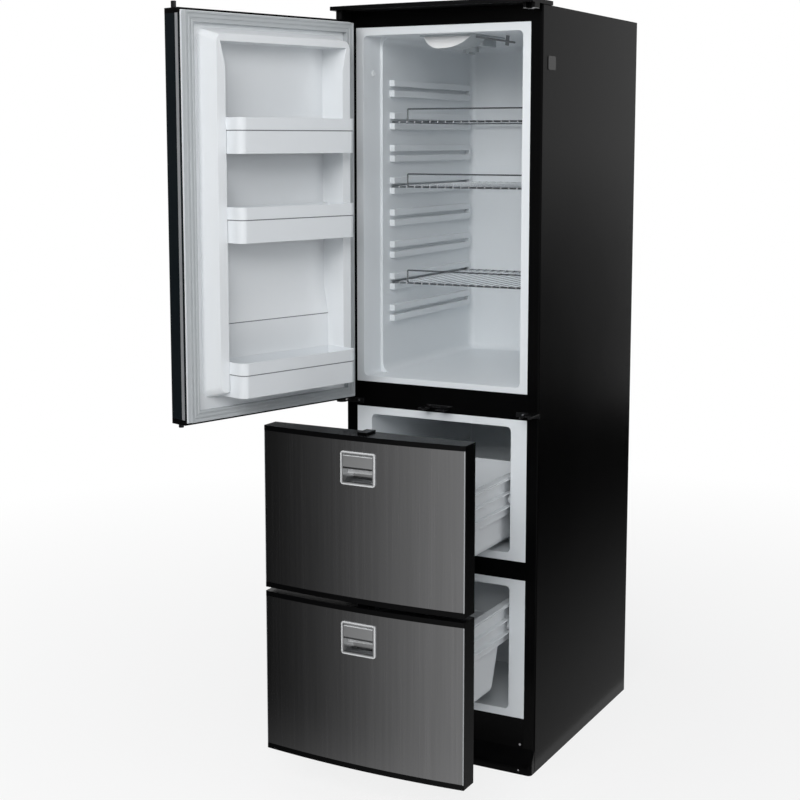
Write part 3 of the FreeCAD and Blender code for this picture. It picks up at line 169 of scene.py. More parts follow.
join(GRAIN, hair.outputs["Fac"], grain_out.inputs["Height"])


def finish_surface(name, group, bump, metallic=0.0, specular=0.5, **values):
    """A material whose colour, roughness and relief come from one of the groups."""
    material, tree, shader = new_material(name)
    source = use_group(tree, group, **values)
    join(tree, source.outputs["Colour"], shader.inputs["Base Color"])
    join(tree, source.outputs["Roughness"], shader.inputs["Roughness"])
    relief = put(tree, "Bump")
    relief.inputs["Strength"].default_value = bump
    relief.inputs["Distance"].default_value = 0.0004
    join(tree, source.outputs["Height"], relief.inputs["Height"])
    join(tree, relief.outputs["Normal"], shader.inputs["Normal"])
    shader.inputs["Metallic"].default_value = metallic
    shader.inputs["Specular IOR Level"].default_value = specular
    return material


def rgb(r, g, b):
    return (r, g, b, 1)


CASING_BLACK = finish_surface(
    "casing_black_paint", SURFACE, 0.12, specular=0.042, Colour=rgb(0.0018, 0.0018, 0.0019),
    Tone=0.5, Roughness=0.22, Roughness_drift=0.06, Fine_scale=700.0)
BACK_BLACK = finish_surface(
    "back_black_steel", SURFACE, 0.15, specular=0.2, Colour=rgb(0.013, 0.013, 0.0135),
    Tone=0.35, Roughness=0.42, Roughness_drift=0.1, Fine_scale=500.0)
HOOD_BLACK = finish_surface(
    "hood_black_plastic", SURFACE, 0.15, specular=0.06, Colour=rgb(0.0026, 0.0026, 0.0028),
    Tone=0.4, Roughness=0.4, Roughness_drift=0.1, Fine_scale=1200.0)
TRIM_BLACK = finish_surface(
    "trim_black_gloss", SURFACE, 0.05, specular=0.07, Colour=rgb(0.0022, 0.0022, 0.0024),
    Tone=0.4, Roughness=0.24, Roughness_drift=0.08, Fine_scale=1500.0)
BRACKET_BLACK = finish_surface(
    "bracket_black_zinc", SURFACE, 0.1, specular=0.3, Colour=rgb(0.005, 0.005, 0.0055),
    Tone=0.5, Roughness=0.26, Roughness_drift=0.1, Fine_scale=900.0)
LINER_WHITE = finish_surface(
    "liner_white_plastic", SURFACE, 0.04, specular=0.4, Colour=rgb(0.85, 0.885, 0.91),
    Tone=0.05, Roughness=0.36, Roughness_drift=0.08, Fine_scale=800.0)
DOOR_WHITE = finish_surface(
    "door_white_plastic", SURFACE, 0.04, specular=0.4, Colour=rgb(0.84, 0.865, 0.885),
    Tone=0.03, Roughness=0.36, Roughness_drift=0.08, Fine_scale=800.0)
BIN_WHITE = finish_surface(
    "bin_white_plastic", SURFACE, 0.03, specular=0.45, Colour=rgb(0.80, 0.83, 0.855),
    Tone=0.03, Roughness=0.3, Roughness_drift=0.06, Fine_scale=1000.0)
TUB_WHITE = finish_surface(
    "tub_white_plastic", SURFACE, 0.05, specular=0.4, Colour=rgb(0.74, 0.765, 0.785),
    Tone=0.04, Roughness=0.4, Roughness_drift=0.08, Fine_scale=900.0)
RAIL_WHITE = finish_surface(
    "rail_white_enamel", SURFACE, 0.06, specular=0.5, Colour=rgb(0.76, 0.785, 0.805),
    Tone=0.05, Roughness=0.25, Roughness_drift=0.08, Fine_scale=600.0)
# Grey plastic of the lamp housing and dial, also painted shade on the lamp lens's shell
LAMP_GREY_AND_LENS_SHADE = finish_surface(
    "lamp_grey_plastic_and_lens_shade", SURFACE, 0.04, specular=0.4, Colour=rgb(0.50, 0.535, 0.555),
    Tone=0.05, Roughness=0.4, Roughness_drift=0.08, Fine_scale=900.0)
SEAL_GREY = finish_surface(
    "seal_grey_rubber", SURFACE, 0.12, specular=0.25, Colour=rgb(0.47, 0.495, 0.51),
    Tone=0.06, Roughness=0.6, Roughness_drift=0.1, Fine_scale=1300.0)
FOAM_YELLOW = finish_surface(
    "foam_pale_yellow", SURFACE, 0.6, specular=0.2, Colour=rgb(0.75, 0.66, 0.42),
    Tone=0.25, Roughness=0.9, Roughness_drift=0.05, Fine_scale=420.0)
ROD_GREY = finish_surface(
    "sensor_dark_sleeve", SURFACE, 0.1, specular=0.3, Colour=rgb(0.25, 0.26, 0.265),
    Tone=0.3, Roughness=0.5, Roughness_drift=0.1, Fine_scale=900.0)
CAN_BLACK = finish_surface(
    "compressor_black_enamel", SURFACE, 0.12, specular=0.5, Colour=rgb(0.010, 0.010, 0.011),
    Tone=0.4, Roughness=0.3, Roughness_drift=0.14, Fine_scale=300.0)
FAN_GREY = finish_surface(
    "fan_grey_plastic", SURFACE, 0.08, specular=0.3, Colour=rgb(0.03, 0.031, 0.033),
    Tone=0.2, Roughness=0.45, Roughness_drift=0.1, Fine_scale=900.0)
# Shelf chrome in a dark colour, a painted dark reflection
DARKENED_CHROME = finish_surface(
    "chrome_wire_painted_dark", SURFACE, 0.03, metallic=1.0, Colour=rgb(0.24, 0.25, 0.26),
    Tone=0.15, Roughness=0.10, Roughness_drift=0.06, Fine_scale=500.0)
# A brighter copy of the shelf chrome for the cross wires, a painted glint
GLINT_CHROME = finish_surface(
    "chrome_cross_wire_painted_glint", SURFACE, 0.03, metallic=0.7, Colour=rgb(0.86, 0.87, 0.88),
    Tone=0.1, Roughness=0.12, Roughness_drift=0.06, Fine_scale=500.0)
# Chrome of the latch bezels, also painted highlight on their back walls and on the flaps' top edges
LATCH_CHROME_AND_HIGHLIGHT = finish_surface(
    "latch_chrome_and_painted_highlight", SURFACE, 0.02, metallic=0.4, Colour=rgb(0.90, 0.91, 0.92),
    Tone=0.03, Roughness=0.2, Roughness_drift=0.06, Fine_scale=900.0)
# Painted shade for the latch flaps' lips
LATCH_LIP_SHADE = finish_surface(
    "latch_lip_painted_shade", SURFACE, 0.02, metallic=1.0, Colour=rgb(0.12, 0.122, 0.125),
    Tone=0.1, Roughness=0.2, Roughness_drift=0.06, Fine_scale=900.0)
# Painted shade for the scoops of the latch bezels
LATCH_SCOOP_SHADE = finish_surface(
    "latch_scoop_painted_shade", SURFACE, 0.02, metallic=1.0, Colour=rgb(0.50, 0.505, 0.51),
    Tone=0.1, Roughness=0.16, Roughness_drift=0.06, Fine_scale=900.0)
# Satin of the latch flaps, also painted shade on the bezels' side walls
LATCH_SATIN_AND_SHADE = finish_surface(
    "latch_satin_silver_and_wall_shade", SURFACE, 0.1, metallic=1.0, Colour=rgb(0.42, 0.425, 0.43),
    Tone=0.08, Roughness=0.42, Roughness_drift=0.08, Fine_scale=2200.0)
EDGE_BLACK = finish_surface(
    "door_edge_blue_black", SURFACE, 0.05, specular=0.12, Colour=rgb(0.007, 0.010, 0.012),
    Tone=0.4, Roughness=0.2, Roughness_drift=0.08, Fine_scale=1500.0)
STRIP_SILVER = finish_surface(
    "edge_strip_silver", SURFACE, 0.05, metallic=0.6, Colour=rgb(0.52, 0.535, 0.55),
    Tone=0.1, Roughness=0.3, Roughness_drift=0.08, Fine_scale=900.0)
# Painted highlight for the drawer fronts' side rims
RIM_PAINTED_HIGHLIGHT = finish_surface(
    "front_rim_painted_highlight", SURFACE, 0.05, metallic=0.6, Colour=rgb(0.34, 0.35, 0.36),
    Tone=0.1, Roughness=0.3, Roughness_drift=0.08, Fine_scale=900.0)
# Painted shade: a grey for thin lines where a crease or a proud band would cast shade
PAINTED_SHADE_LINE = finish_surface(
    "painted_shade_line_grey", SURFACE, 0.04, specular=0.2, Colour=rgb(0.20, 0.21, 0.22),
    Tone=0.05, Roughness=0.5, Roughness_drift=0.08, Fine_scale=900.0)
COIL_METAL = finish_surface(
    "coil_dull_aluminium", SURFACE, 0.1, metallic=1.0, Colour=rgb(0.55, 0.56, 0.57),
    Tone=0.2, Roughness=0.38, Roughness_drift=0.14, Fine_scale=260.0)
PIPE_COPPER = finish_surface(
    "pipe_dull_copper", SURFACE, 0.08, metallic=1.0, Colour=rgb(0.52, 0.25, 0.15),
    Tone=0.25, Roughness=0.34, Roughness_drift=0.14, Fine_scale=240.0)
PIN_STEEL = finish_surface(
    "pin_bright_steel", SURFACE, 0.05, metallic=1.0, Colour=rgb(0.55, 0.55, 0.56),
    Tone=0.1, Roughness=0.3, Roughness_drift=0.08, Fine_scale=900.0)
SCREW_STEEL = finish_surface(
    "screw_dark_steel", SURFACE, 0.05, metallic=1.0, Colour=rgb(0.25, 0.25, 0.26),
    Tone=0.15, Roughness=0.26, Roughness_drift=0.08, Fine_scale=900.0)
SKIN_STEEL = finish_surface(
    "skin_dark_brushed_steel", GRAIN, 0.10, metallic=1.0, Colour=rgb(0.165, 0.165, 0.167),
    Contrast=0.26, Roughness=0.24)

LENS_MILK, lens_tree, lens_shader = new_material("lens_milk_white")
lens_source = use_group(lens_tree, SURFACE, Colour=rgb(0.90, 0.905, 0.90), Tone=0.03, Roughness=0.22)
join(lens_tree, lens_source.outputs["Colour"], lens_shader.inputs["Base Color"])
join(lens_tree, lens_source.outputs["Roughness"], lens_shader.inputs["Roughness"])
lens_shader.inputs["Subsurface Weight"].default_value = 0.3
lens_shader.inputs["Subsurface Radius"].default_value = (0.01, 0.01, 0.01)

FINISHES = {
    CASING_BLACK: ["casing_left", "casing_right", "casing_top", "base_tray", "mullion", "drawer_rail"],
    BACK_BLACK: ["casing_back"],
    HOOD_BLACK: ["top_hood"],
    BRACKET_BLACK: ["door_top_pin", "door_bottom_pin", "lower_hinge", "lower_catch", "drawer_keepers"],
    LINER_WHITE: ["fridge_liner", "upper_liner", "lower_liner", "upper_inner_panel", "lower_inner_panel"],
    DOOR_WHITE: ["door_liner"],
    FOAM_YELLOW: ["cabinet_foam", "door_core"],
    DARKENED_CHROME: ["shelf_top", "shelf_middle", "shelf_bottom"],
    LAMP_GREY_AND_LENS_SHADE: ["lamp_housing", "thermostat_dial"],
    LENS_MILK: ["lamp_lens"],
    ROD_GREY: ["sensor_tube"],
    TRIM_BLACK: ["door_top_cap", "door_bottom_cap", "door_profiles", "upper_front_frame", "lower_front_frame",
                 "upper_latch_bolt", "lower_latch_bolt"],
    SKIN_STEEL: ["door_skin", "upper_front_skin", "lower_front_skin"],
    SEAL_GREY: ["door_gasket", "upper_gasket", "lower_gasket"],
    BIN_WHITE: ["door_bin_top", "door_bin_middle", "door_bin_bottom"],
    TUB_WHITE: ["upper_basket", "lower_basket", "upper_rollers", "lower_rollers"],
    RAIL_WHITE: ["upper_rails", "lower_rails", "cabinet_runners"],
    LATCH_CHROME_AND_HIGHLIGHT: ["door_latch_bezel", "upper_latch_bezel", "lower_latch_bezel"],
    LATCH_SATIN_AND_SHADE: ["door_latch_flap", "upper_latch_flap", "lower_latch_flap"],
    CAN_BLACK: ["compressor"],
    COIL_METAL: ["condenser"],
    FAN_GREY: ["condenser_fan"],
}
for material, names in FINISHES.items():
    for name in names:
        NODES[name].data.materials.clear()
        NODES[name].data.materials.append(material)

# Rounded edges of the moulded and folded pieces, by the radius in millimetres
EDGE_MM = {
    "upper_liner": 2.2, "lower_liner": 2.2, "door_top_cap": 1.6, "door_bottom_cap": 1.6,
    "door_skin": 0.3, "upper_front_skin": 0.3, "lower_front_skin": 0.3,
    "upper_basket": 0.8, "lower_basket": 0.8, "upper_rails": 0.6, "lower_rails": 0.6, "cabinet_runners": 0.5,
    "door_gasket": 1.2, "upper_gasket": 1.2, "lower_gasket": 1.2,
    "top_hood": 1.2, "base_tray": 0.6, "casing_left": 0.3, "casing_right": 0.3, "casing_top": 0.3,
    "casing_back": 0.3, "mullion": 0.4, "drawer_rail": 0.4, "lower_hinge": 0.6, "lower_catch": 0.6,
    "drawer_keepers": 0.5, "lamp_housing": 1.0, "thermostat_dial": 0.8, "sensor_tube": 0.3,
    "upper_inner_panel": 1.0, "lower_inner_panel": 1.0, "upper_latch_bolt": 0.8, "lower_latch_bolt": 0.8,
    "upper_rollers": 0.6, "lower_rollers": 0.6, "door_top_pin": 0.8, "door_bottom_pin": 0.8,
    "compressor": 1.5, "condenser": 0.2, "condenser_fan": 0.4,
}
WELD_GAP = 0.00002
FLAT_ANGLE, EDGE_ANGLE = math.radians(0.6), math.radians(35)


def round_edges(piece, radius, flat=True):
    """Live modifiers that round sharp edges, in millimetres; flat joins level triangles first."""
    piece.data.polygons.foreach_set("use_smooth", [True] * len(piece.data.polygons))
    weld = piece.modifiers.new("weld", "WELD")
    weld.merge_threshold = WELD_GAP
    if flat:
        planar = piece.modifiers.new("planar", "DECIMATE")
        planar.decimate_type = "DISSOLVE"
        planar.angle_limit = FLAT_ANGLE
        planar.delimit = {"MATERIAL"}
    edge = piece.modifiers.new("edge", "BEVEL")
    edge.width = radius * MM
    edge.segments = 3
    edge.limit_method = "ANGLE"
    edge.angle_limit = EDGE_ANGLE
    edge.use_clamp_overlap = True
    even = piece.modifiers.new("even", "WEIGHTED_NORMAL")
    even.keep_sharp = False


# The dial's ring-shaped faces stay triangles
for name, radius in EDGE_MM.items():
    round_edges(NODES[name], radius, name != "thermostat_dial")


# Pieces of the scene's own
def object_from(name, shape):
    """The bmesh as an object of the scene, at the origin."""
    mesh = bpy.data.meshes.new(name)
    shape.to_mesh(mesh)
    shape.free()
    made = bpy.data.objects.new(name, mesh)
    SCENE.collection.objects.link(made)
    return made


def new_piece(name, shape, materials, body):
    """A piece from the bmesh that rides on a body."""
    piece = object_from(name, shape)
    for material in materials:
        piece.data.materials.append(material)
    piece.data.polygons.foreach_set("use_smooth", [True] * len(piece.data.polygons))
    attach(piece, body)
    return piece


# Copies of door pieces are shaped as the door stands shut, then opened again
HINGE = Vector((-0.211, -0.308, 0))
OPEN_TURN = Matrix.Rotation(math.radians(-106), 4, "Z")
DOOR_TURN = Matrix.Translation(HINGE) @ OPEN_TURN @ Matrix.Translation(-HINGE)
STILL = Matrix.Identity(4)
CASING_FRONT = -0.270


def merged_copy(node, turn=STILL):
    """The node's mesh with its loose triangles joined, placed as the piece stands when shut."""
    shape = bmesh.new()
    shape.from_mesh(NODES[node].data)
    bmesh.ops.remove_doubles(shape, verts=shape.verts[:], dist=WELD_GAP)
    shape.transform(turn.inverted())
    return shape


def split(shape, place, normal):
    """Cuts all faces along a plane and keeps both sides."""
    bmesh.ops.bisect_plane(shape, geom=shape.verts[:] + shape.edges[:] + shape.faces[:], dist=0.000001,
                           plane_co=place, plane_no=normal)


def stand_in(node, name, shape, turn, materials, body, radius, flat=True):
    """The shaped copy takes the node's place."""
    shape.transform(turn)
    piece = new_piece(name, shape, materials, body)
    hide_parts(node)
    round_edges(piece, radius, flat)


def bent_wires(name, runs, material, body, turns=3):
    """Round wires along smooth lines; a run gives its points, its radius in millimetres and if it closes."""
    line = bpy.data.curves.new(name + "_line", "CURVE")
    line.dimensions = "3D"
    line.bevel_depth = MM
    line.bevel_resolution = turns
    line.use_fill_caps = True
    for points, radius, closed in runs:
        bent = len(points) > 2
        spline = line.splines.new("NURBS" if bent else "POLY")
        spline.points.add(len(points) - 1)
        for dot, place in zip(spline.points, points):
            dot.co = (*place, 1)
            dot.radius = radius
        spline.use_cyclic_u = closed
        if bent:
            spline.order_u = 3
            spline.use_endpoint_u = not closed
            spline.resolution_u = 6
    holder = bpy.data.objects.new(name + "_line", line)
    mesh = bpy.data.meshes.new_from_object(holder)
    bpy.data.objects.remove(holder)
    bpy.data.curves.remove(line)
    shape = bmesh.new()
    shape.from_mesh(mesh)
    bpy.data.meshes.remove(mesh)
    bmesh.ops.remove_doubles(shape, verts=shape.verts[:], dist=0.000001)
    return new_piece(name, shape, [material], body)


# Wire shelves: a closed frame with bent corners, cross wires and a raised guard along the front
SIDE_R, CROSS_R, GUARD_R = 2.15, 1.25, 1.6
CROSS_COUNT, CROSS_UP, HOOK_FROM, HOOK_OUT, HOOK_DOWN = 17, 0.0016, 0.004, 0.0030, 0.0018
GUARD_LEFT, GUARD_RIGHT, GUARD_UP = 0.037, 0.014, 0.027
INSET, FRAME_BEND, GUARD_BEND = 0.0025, 0.009, 0.004


def shelf_runs(node):
    """The frame and guard of a shelf, and its cross wires, which hook over the front."""
    low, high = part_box(node)
    half = high[0] - INSET
    front, rear = low[1] + INSET, high[1] - INSET
    level = low[2] + SIDE_R * MM
    corners = ((half, front, (-1, 0)), (-half, front, (0, 1)), (-half, rear, (1, 0)), (half, rear, (0, -1)))
    loop = []
    for x, y, along in corners:
        before = (along[1], -along[0])
        loop.append((x + before[0] * FRAME_BEND, y + before[1] * FRAME_BEND, level))
        loop.append((x, y, level))
        loop.append((x + along[0] * FRAME_BEND, y + along[1] * FRAME_BEND, level))
    runs = [(loop, SIDE_R, True)]
    cross = []
    lift, hook = level + CROSS_UP, front - HOOK_OUT
    for i in range(CROSS_COUNT):
        x = -half + 2 * half * (i + 1) / (CROSS_COUNT + 1)
        wire = [(x, rear, lift), (x, front + HOOK_FROM, lift), (x, hook, lift),
                (x, hook, level - HOOK_DOWN)]
        cross.append((wire, CROSS_R, False))
    left, right = GUARD_LEFT - half, half - GUARD_RIGHT
    top = level + GUARD_UP
    guard = [(left, front, level), (left, front, top - GUARD_BEND), (left, front, top),
             (left + GUARD_BEND, front, top), (right - GUARD_BEND, front, top), (right, front, top),
             (right, front, top - GUARD_BEND), (right, front, level)]
    runs.append((guard, GUARD_R, False))
    return runs, cross


# One chrome painted two ways: the frame dark as painted reflection, the cross wires bright as painted glints
for node in ("shelf_top", "shelf_middle", "shelf_bottom"):
    outer, cross = shelf_runs(node)
    shelf = bent_wires(node + "_frame", outer, DARKENED_CHROME, "cabinet")
    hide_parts(node)
    bent_wires(node + "_cross", cross, GLINT_CHROME, "cabinet")

# Lamp: the flat front is milky; the curved shell behind it, the same milky lens, is painted grey as painted
# shade
shape = merged_copy("lamp_lens")
for face in shape.faces:
    face.material_index = 0 if face.normal.y < -0.9 else 1
lamp = new_piece("lamp_lens_shell", shape, [LENS_MILK, LAMP_GREY_AND_LENS_SHADE], "cabinet")
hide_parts("lamp_lens")
round_edges(lamp, 1.5)

# Door edge: a silver strip beside the seal on both side profiles
shape = merged_copy("door_profiles", DOOR_TURN)
STRIP_FROM, STRIP_TO = CASING_FRONT - 0.0235, CASING_FRONT - 0.0150
split(shape, (0, STRIP_FROM, 0), (0, 1, 0))
split(shape, (0, STRIP_TO, 0), (0, 1, 0))
for face in shape.faces:
    face.material_index = 1 if STRIP_FROM < face.calc_center_median().y < STRIP_TO else 0
stand_in("door_profiles", "door_profiles_strip", shape, DOOR_TURN, [EDGE_BLACK, STRIP_SILVER],
         "door", 1.2)

# Door liner: fuller ridge, a recess that widens towards its upper corners, and a grey line across its floor
# where the floor meets the slope above it, painted shade for the crease there.
# The gusset's inner corner goes out to the rim or the floor. The ridge grows at its crest, foot and flank:
# each row gives a range of rise over the casing front, a range of distance from the middle, and the growth.
GUSSET_OUT, RIM_OUT, FLOOR_OUT, GUSSET_FROM = 0.117, 0.160, 0.1485, 1.4
RIDGE_GROWTH = (
    ((0.0325, 1), (0.1525, 1), 0.009),
    ((-0.0125, -0.0115), (0.1565, 0.1735), 0.006),
    ((0, 0.032), (0.16, 1), 0.0075),
)
SHADE_LINE_HALF, FLOOR_STEP, RECESS_HALF = 0.0009, 0.013, 0.152
shape = merged_copy("door_liner", DOOR_TURN)
for vert in shape.verts:
    side = math.copysign(1, vert.co.x)
    out, rise = abs(vert.co.x), vert.co.y - CASING_FRONT
    if abs(out - GUSSET_OUT) < 0.0006 and vert.co.z > GUSSET_FROM:
        vert.co.x = side * (RIM_OUT if rise > 0 else FLOOR_OUT)
        continue
    for rises, outs, growth in RIDGE_GROWTH:
        if rises[0] < rise < rises[1] and outs[0] < out < outs[1]:
            vert.co.x += side * growth
            break
floor_verts = [vert for vert in shape.verts if abs(vert.co.y - CASING_FRONT + FLOOR_STEP) < 0.0003]
crease = max(vert.co.z for vert in floor_verts)
for z in (crease - SHADE_LINE_HALF, crease + SHADE_LINE_HALF):
    split(shape, (0, 0, z), (0, 0, 1))
# The floor faces in the thin band along the crease get the grey as painted shade
for face in shape.faces:
    place = face.calc_center_median()
    if abs(place.z - crease) < SHADE_LINE_HALF and face.normal.y > 0.7 and place.y - CASING_FRONT < -0.010:
        face.material_index = 1 if abs(place.x) < RECESS_HALF else 0
stand_in("door_liner", "door_liner_ridge", shape, DOOR_TURN, [DOOR_WHITE, PAINTED_SHADE_LINE], "door", 3.0)

# Door bins: a grey strip just under the band that stands proud, painted as the shadow that band casts
BAND_HIGH, SHADE_BAND_HIGH = 0.023, 0.0020
for node in ("door_bin_top", "door_bin_middle", "door_bin_bottom"):
    shape = merged_copy(node, DOOR_TURN)
    band = max(vert.co.z for vert in shape.verts) - BAND_HIGH
    split(shape, (0, 0, band - SHADE_BAND_HIGH), (0, 0, 1))
    middle = sum((vert.co for vert in shape.verts), Vector()) / len(shape.verts)
    for face in shape.faces:
        place = face.calc_center_median()
        outward = abs(face.normal.z) < 0.3 and (place - middle).dot(face.normal) > 0
        # The outward faces in the thin strip under the proud band get the grey as painted shadow
        face.material_index = 1 if outward and band - SHADE_BAND_HIGH < place.z < band else 0
    stand_in(node, node + "_rim_shaded", shape, DOOR_TURN, [BIN_WHITE, PAINTED_SHADE_LINE], "door", 0.9, False)

# Drawer fronts: the thin side rims beside the steel are painted bright, a painted highlight for the light
# their edges catch
for drawer in ("upper", "lower"):
    low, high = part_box(drawer + "_front_skin")
    shape = merged_copy(drawer + "_front_frame")
    for x in (low[0], high[0]):
        split(shape, (x, 0, 0), (1, 0, 0))
    for z in (low[2], high[2]):
        split(shape, (0, 0, z), (0, 0, 1))
    for face in shape.faces:
        place = face.calc_center_median()
        rim = face.normal.y < -0.7 and low[2] < place.z < high[2] and not low[0] < place.x < high[0]
        face.material_index = 1 if rim else 0
    stand_in(drawer + "_front_frame", drawer + "_front_frame_rim", shape, STILL, [TRIM_BLACK, RIM_PAINTED_HIGHLIGHT],
             drawer + "_drawer", 1.2, False)

# Fridge liner: front bay that narrows towards the walls behind it, and wide soft coves around the rear wall
shape = merged_copy("fridge_liner")
BAY_END, WALL_HALF, STEP_SHARE, COVE_R, COVE_DEEP = -0.210, 0.166, 0.42, 0.010, 0.016
for vert in shape.verts:
    past_wall = abs(vert.co.x) - WALL_HALF
    if abs(vert.co.y - BAY_END) < 0.0005 and past_wall > 0:
        vert.co.x = math.copysign(WALL_HALF + past_wall * STEP_SHARE, vert.co.x)
bmesh.ops.dissolve_limit(shape, angle_limit=FLAT_ANGLE, verts=shape.verts[:], edges=shape.edges[:])
rear_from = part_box("fridge_liner")[1][1] - COVE_DEEP
coves = []
for edge in shape.edges:
    if len(edge.link_faces) == 2:
        inward = min(face.normal.y for face in edge.link_faces) < -0.5
        steep = math.radians(35) < edge.calc_face_angle(0) < math.radians(55)
        place = (edge.verts[0].co + edge.verts[1].co) / 2
        if inward and steep and place.y > rear_from:
            coves.append(edge)
bmesh.ops.bevel(shape, geom=coves, offset=COVE_R, offset_type="OFFSET", affect="EDGES", segments=4,
                profile=0.5, material=-1, clamp_overlap=True)
stand_in("fridge_liner", "fridge_liner_coves", shape, STILL, [LINER_WHITE], "cabinet", 2.2)

# Latches: the chrome ring of each bezel, with a bright band on its back wall as painted highlight, satin side
# walls between them and a duller scoop below as painted shade; a satin flap with a dark lip as painted shade
# and a bright top edge as painted highlight.
# The sizes are half widths and half heights from the latch's middle, and levels above it.
RING_HALF, CUP_HALF = (0.0342, 0.0292), (0.0319, 0.0275)
SCOOP_TOP, LIP_TOP, FLAP_EDGE = -0.013, 0.0026, 0.0232
LATCHES = (("door", DOOR_TURN, "door"), ("upper", STILL, "upper_drawer"), ("lower", STILL, "lower_drawer"))
for latch, turn, carrier in LATCHES:
    shape = merged_copy(latch + "_latch_bezel", turn)
    heights = [vert.co.z for vert in shape.verts]
    middle = (min(heights) + max(heights)) / 2
    across = [vert.co.x for vert in shape.verts]
    centre = (min(across) + max(across)) / 2
    for side in (-1, 1):
        split(shape, (centre + side * RING_HALF[0], 0, 0), (1, 0, 0))
        split(shape, (0, 0, middle + side * RING_HALF[1]), (0, 0, 1))
    # Painted tones on the one chrome part: satin walls and the duller scoop are painted shade, the bright
    # back-wall band is painted highlight
    for face in shape.faces:
        place = face.calc_center_median()
        up, out = place.z - middle, abs(place.x - centre)
        if out < RING_HALF[0] and abs(up) < RING_HALF[1]:
            inner = out < CUP_HALF[0] and abs(up) < CUP_HALF[1] and abs(face.normal.x) < 0.9
            if not inner:
                face.material_index = 1
            elif up < SCOOP_TOP:
                face.material_index = 2
    stand_in(latch + "_latch_bezel", latch + "_latch_bezel_painted_tones", shape, turn,
             [LATCH_CHROME_AND_HIGHLIGHT, LATCH_SATIN_AND_SHADE, LATCH_SCOOP_SHADE], carrier, 1.3)
    shape = merged_copy(latch + "_latch_flap", turn)
    split(shape, (0, 0, middle + FLAP_EDGE), (0, 0, 1))
    # On the satin flap, the dark lip is painted shade and the bright top edge is painted highlight
    for face in shape.faces:
        up = face.calc_center_median().z - middle
        face.material_index = 1 if up < LIP_TOP else 2 if up > FLAP_EDGE else 0
    stand_in(latch + "_latch_flap", latch + "_latch_flap_painted_tones", shape, turn,
             [LATCH_SATIN_AND_SHADE, LATCH_LIP_SHADE, LATCH_CHROME_AND_HIGHLIGHT], latch + "_flap", 0.7)


# Screws, plugs and small fittings
def screw_head(shape, place, out, radius=3.0, height=1.4):
    """A pan head with a sunk drive, standing on a surface; place in millimetres."""
    out = Vector(out)
    turn = out.to_track_quat("Z", "Y").to_matrix().to_4x4()
    seat = Matrix.Translation(Vector(place) * MM + out * height * MM / 2)
    made = bmesh.ops.create_cone(shape, cap_ends=True, segments=20, radius1=radius * MM,
                                 radius2=radius * 0.7 * MM, depth=height * MM, matrix=seat @ turn)
    faces = {face for vert in made["verts"] for face in vert.link_faces}
    top = max(faces, key=lambda face: face.calc_center_median().dot(out))
    bmesh.ops.inset_individual(shape, faces=[top], thickness=radius * 0.3 * MM)
    bmesh.ops.translate(shape, verts=top.verts[:], vec=-out * height * 0.55 * MM)


FRONT, RIGHT, UP, DOWN = (0, -1, 0), (1, 0, 0), (0, 0, 1), (0, 0, -1)
shape = bmesh.new()
for x in (-187.3, 187.3):
    screw_head(shape, (x, -270, 55.6), FRONT)
    screw_head(shape, (x * 1.03, -290, 9), FRONT, 2.4)
for x in (-190, 187):
    screw_head(shape, (x, -272, 744.5), FRONT, 2.8)
for level in (416.5, 746.5):
    for x in (-21, 21):
        screw_head(shape, (x, -272, level), FRONT, 2.0, 1.2)
new_piece("cabinet_screws", shape, [SCREW_STEEL], "cabinet")

shape = bmesh.new()
screw_head(shape, (-174.4, -235.6, 1426.7), RIGHT, 7.5, 3.4)
plug = new_piece("wall_plug", shape, [DOOR_WHITE], "cabinet")
round_edges(plug, 0.5)


def plate(outline, thick, out):
    """A flat plate from the corners of its outline, in millimetres, thickened along a direction."""
    shape = bmesh.new()
    face = shape.faces.new([shape.verts.new(Vector(corner) * MM) for corner in outline])
    grown = bmesh.ops.extrude_face_region(shape, geom=[face])
    moved = [item for item in grown["geom"] if isinstance(item, bmesh.types.BMVert)]
    bmesh.ops.translate(shape, verts=moved, vec=Vector(out) * thick * MM)
    bmesh.ops.recalc_face_normals(shape, faces=shape.faces[:])
    return shape


tab = plate([(220, -244, 1426), (220, -206, 1426), (220, -206, 1453), (220, -244, 1453)], 1.3, RIGHT)
corner_edges = [edge for edge in tab.edges if abs((edge.verts[0].co - edge.verts[1].co).x) > 0.0005]
bmesh.ops.bevel(tab, geom=corner_edges, offset=0.004, offset_type="OFFSET", affect="EDGES", segments=4,
                profile=0.5, material=-1)
tab_piece = new_piece("side_tab", tab, [BRACKET_BLACK], "cabinet")
round_edges(tab_piece, 0.6)

fork_outline = ((199.2, -296), (199.2, -318.6), (204.6, -318.6), (204.6, -301.6),
                (217.4, -301.6), (217.4, -318.6), (222.8, -318.6), (222.8, -296))
fork = plate([(x, y, 1540) for x, y in fork_outline], 0.9, DOWN)
fork_piece = new_piece("hood_catch_plate", fork, [PIN_STEEL], "cabinet")
round_edges(fork_piece, 0.25)

web_outline = ((-217, -303), (-205, -303), (-205, -270.2), (-217, -270.2))
web = plate([(x, y, 1532) for x, y in web_outline], 18, UP)
web_piece = new_piece("hood_hinge_web", web, [HOOD_BLACK], "cabinet")
round_edges(web_piece, 0.8)

